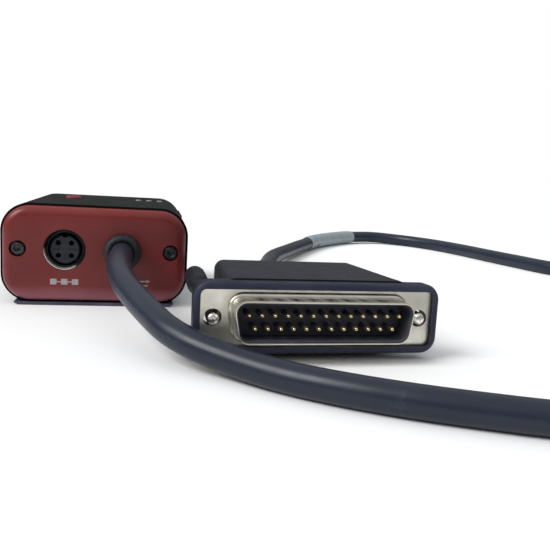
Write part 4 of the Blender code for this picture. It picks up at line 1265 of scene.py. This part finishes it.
pin = turned([(0.05, -5.3), (0.24, -5.22), (0.4, -5.0), (0.5, -4.6), (0.5, 8.6), (0.5, 9.0)], 20)
pin_sets = []
for count, first, z in pin_rows:
    start = (first * PIN_PITCH, -z, 0)
    spots = grown(row, pin.copy(), gilt, Count=count, Start=start, Step=(PIN_PITCH, 0, 0))
    pin_sets.append(moved(spots, AXES["Y"]))
pin.free()
pin_sets.append(block((35.5, 0.8, 4.6), (0, 8.9, 0)))
tip_gold = Paint("tip_plating", "gold")
# painted shade: the pins turn dull and nearly black towards the back, inside the collar, and only their
# tips stay bright gold
painted_recess_shade = tip_gold.ramp(plug_coordinate(tip_gold, 1) + 0.4 * tip_gold.noise(0.5, 2.0), -4.75, -4.35)
plating = tip_gold.blend(tip_gold.noise(0.7, 2.0), (0.66, 0.50, 0.22), (0.85, 0.70, 0.40))
tip_gold.feed("Base Color", tip_gold.blend(painted_recess_shade, plating, (0.050, 0.050, 0.062)))
tip_gold.feed("Metallic", 1 - 0.9 * painted_recess_shade)
tip_gold.feed("Roughness", 0.26 + 0.3 * painted_recess_shade)
tip_gold.grain(0.2, 2.0, 0.008, 0.3)
pins = finished("contact_pins", together(*pin_sets), tip_gold, stands_for=["plug_pins"], place=plug_place)

# ---------------------------------------------------------------- hood, boot and jackscrews
# A slate-coloured nylon hood in two pressed-together halves holds the plug's flange, with a
# soft boot on the lead.  Two long captive jackscrews lie beside it: ribbed grips moulded on
# plated shanks, each with a clip that keeps it in its loose hole.
hood_nylon = Paint("slate_nylon", "slate_moulding", Specular_IOR_Level=0.18)
mottle = hood_nylon.ramp(hood_nylon.noise(9.0, 4.0), 0.3, 0.75)
# painted light: the frame's front face is a lighter blue-grey than the rest of the hood
painted_front_light = hood_nylon.ramp(plug_coordinate(hood_nylon, 1) + hood_nylon.noise(3.0, 2.0), 0.3, -0.4)
hood_nylon.feed("Base Color", hood_nylon.blend(
    painted_front_light, hood_nylon.blend(mottle, (0.0085, 0.0110, 0.0165), (0.0165, 0.0200, 0.0285)),
    hood_nylon.blend(mottle, (0.0230, 0.0260, 0.0470), (0.0420, 0.0460, 0.0750)),
))
hood_nylon.gloss(0.36, 0.2, 3.0, 4.0).grain(0.5, 3.0, 0.05, 0.5)
HOOD_DEPTH = 34.0
HOOD_LIFT = 0.4                  # the hood's body stands this much above the frame's middle


def hood_ring(half_wide, half_high, radius, depth):
    return [Vector((p.x, depth, p.y)) for p in rounded_ring(half_wide, half_high, radius, 0, 10)]


rim = [(0.9, -1.2), (0.42, -1.1), (0.14, -0.85), (0.0, -0.4)]         # inset and depth
rim += [(inset, 2.0 - depth) for inset, depth in reversed(rim)]
frame_rings = [hood_ring(27.8 - inset, 7.95 - inset, 3.6 - inset * 0.6, depth) for inset, depth in rim]
body_rings = [hood_ring(20.8, 7.9, 2.2, 1.2), hood_ring(20.8, 7.9, 2.2, 3.2)]
for k in range(1, 9):
    share = k / 8
    body_rings.append(hood_ring(20.8 - 1.8 * share, 7.9, 2.4, 3.2 + (HOOD_DEPTH - 4.7) * share))
for turn in (15, 35, 55, 75, 90):
    t = math.radians(turn)
    inset = 1.5 * (1 - math.cos(t))
    body_rings.append(hood_ring(19.0 - inset, 7.9 - inset, 2.4, HOOD_DEPTH - 1.5 + 1.5 * math.sin(t)))
for ring in body_rings:
    for p in ring:
        p.z += HOOD_LIFT
hood_cuts = [
    loft([hood_ring(26.35, 6.24, 1.3, -2.5), hood_ring(26.35, 6.24, 1.3, 0.5)]),
    loft([hood_ring(26.85, 6.65, 1.3, -0.3), hood_ring(26.85, 6.65, 1.3, 1.1)]),
    loft([hood_ring(19.75, 5.2, 2.0, 0.0), hood_ring(19.75, 5.2, 2.0, 9.8)]),
]
hood_cuts += [moved(rod(1.85, 0.5, 6.0, 36), at(side * JACK_X, 0, 0, "Y")) for side in (-1, 1)]
seam = [hood_ring(21.8, 0.09, 0.05, 4.2), hood_ring(21.8, 0.09, 0.05, HOOD_DEPTH + 1)]
seam_core = [hood_ring(20.5, 0.3, 0.05, 3.0), hood_ring(18.6, 0.3, 0.05, HOOD_DEPTH - 0.3)]
hood_cuts.append(carved(loft(seam), [loft(seam_core)]))
hood = finished(
    "plug_cover", carved(loft(frame_rings), hood_cuts, [loft(body_rings)]), hood_nylon,
    stands_for=["plug_hood"], place=plug_place,
)
REAR = HOOD_DEPTH + 0.3
BOOT_RIBS = 6
boot_profile = [(3.4, REAR), (5.3, REAR), (5.42, REAR + 0.15), (5.4, REAR + 1.0)]
for k in range(BOOT_RIBS):
    h = REAR + 2.0 + 2.0 * k
    wide = 5.3 - 0.19 * k
    boot_profile += [(wide, h), (wide - 0.5, h + 0.2), (wide - 0.52, h + 0.8), (wide - 0.06, h + 1.0)]
boot_profile += [(4.1, REAR + 13.7), (3.9, REAR + 14.0), (3.4, REAR + 14.0)]
boot = finished("lead_boot", moved(turned(boot_profile, 48, closed=True), AXES["Y"]), hood_nylon,
                stands_for=["plug_boot"], place=plug_place)

grip_nylon = Paint("grip_nylon", "slate_moulding", Specular_IOR_Level=0.15)
grip_nylon.shades(4.0, 4.0, (0.3, 0.75), (0.008, 0.009, 0.013), (0.016, 0.018, 0.024))
grip_nylon.gloss(0.38, 0.2, 2.0, 4.0).grain(0.4, 3.0, 0.04, 0.5)


FLUTES = 16


def fluted(radius, depth, height):
    """A ring with shallow flutes, for grips that fingers turn."""
    ring = []
    for i in range(FLUTES * 6):
        turn = 2 * math.pi * i / (FLUTES * 6)
        r = radius - depth * (0.5 - 0.5 * math.cos(turn * FLUTES))
        ring.append(Vector((r * math.cos(turn), r * math.sin(turn), height)))
    return ring


bright = Paint("bright_nickel", "nickel", Metallic=1.0)
bright.shades(0.9, 3.0, None, (0.80, 0.78, 0.72), (0.95, 0.93, 0.88))
bright.gloss(0.14, 0.25, 0.6, 3.0).grain(0.4, 3.0, 0.01, 0.3)
LEFT_LEAN = 5.5                  # degrees that the left one leans in its loose hole
PIVOT = 2.5                      # depth at which it crosses the hole's middle
grip_profile = [                 # radius, depth of the flutes and distance along
    (1.6, 0, 9.0), (1.8, 0, 9.05), (1.9, 0, 9.3), (1.9, 0, 24.5), (2.1, 0, 25.3), (2.5, 0, 26.3),
    (2.72, 0, 27.0), (2.8, 0.12, 28.0), (2.8, 0.16, 34.5), (2.78, 0.08, 36.2), (2.6, 0, 37.2),
    (2.2, 0, 37.95), (1.6, 0, 38.4),
]
jack_pieces = []
for side, name, lift in ((-1, "left", LEFT_LEAN), (1, "right", 0.0)):
    lean = Matrix.Rotation(math.radians(lift), 4, "X")
    hinge = plug_place @ Matrix.Translation((side * JACK_X, PIVOT, 0))
    place = hinge @ lean @ Matrix.Translation((0, -PIVOT, 0)) @ AXES["Y"]
    tip = turned([(0.3, -1.1), (0.8, -1.02), (1.2, -0.75), (1.37, -0.4), (1.4, 0.1), (1.4, 9.3)], 40)
    shank = carved(tip, [block((0.34, 3.4, 0.5), (0, 0, -1.1))])
    screw = finished(f"jack_{name}_shank", shank, bright, body=f"{name}_jackscrew", place=place)
    grip_rings = [fluted(*station) for station in grip_profile]
    slot_cut = block((0.8, 5.0, 0.9), (0, 0, 38.3))
    grip = finished(
        f"jack_{name}_grip", carved(loft(grip_rings), [slot_cut]), grip_nylon, body=f"{name}_jackscrew",
        stands_for=[f"jackscrew_{name}"], place=place,
    )
    clip_cut = block((1.6, 3.0, 2.0), (0, 1.9, 8.4))
    clip = carved(turned([(1.7, 8.12), (2.3, 8.1), (2.4, 8.2), (2.4, 8.6), (2.3, 8.7), (1.7, 8.68)], 40,
                         closed=True), [clip_cut])
    clip = finished(f"clip_{name}", clip, steel, body=f"{name}_retainer", stands_for=[f"retainer_{name}"],
                    place=place)
    jack_pieces += [screw, grip, clip]
lead_pieces += [plug_shell, insulator, pins, hood, boot] + jack_pieces

# ---------------------------------------------------------------- the lead's points in metres
[p * MM for p in lead_line]
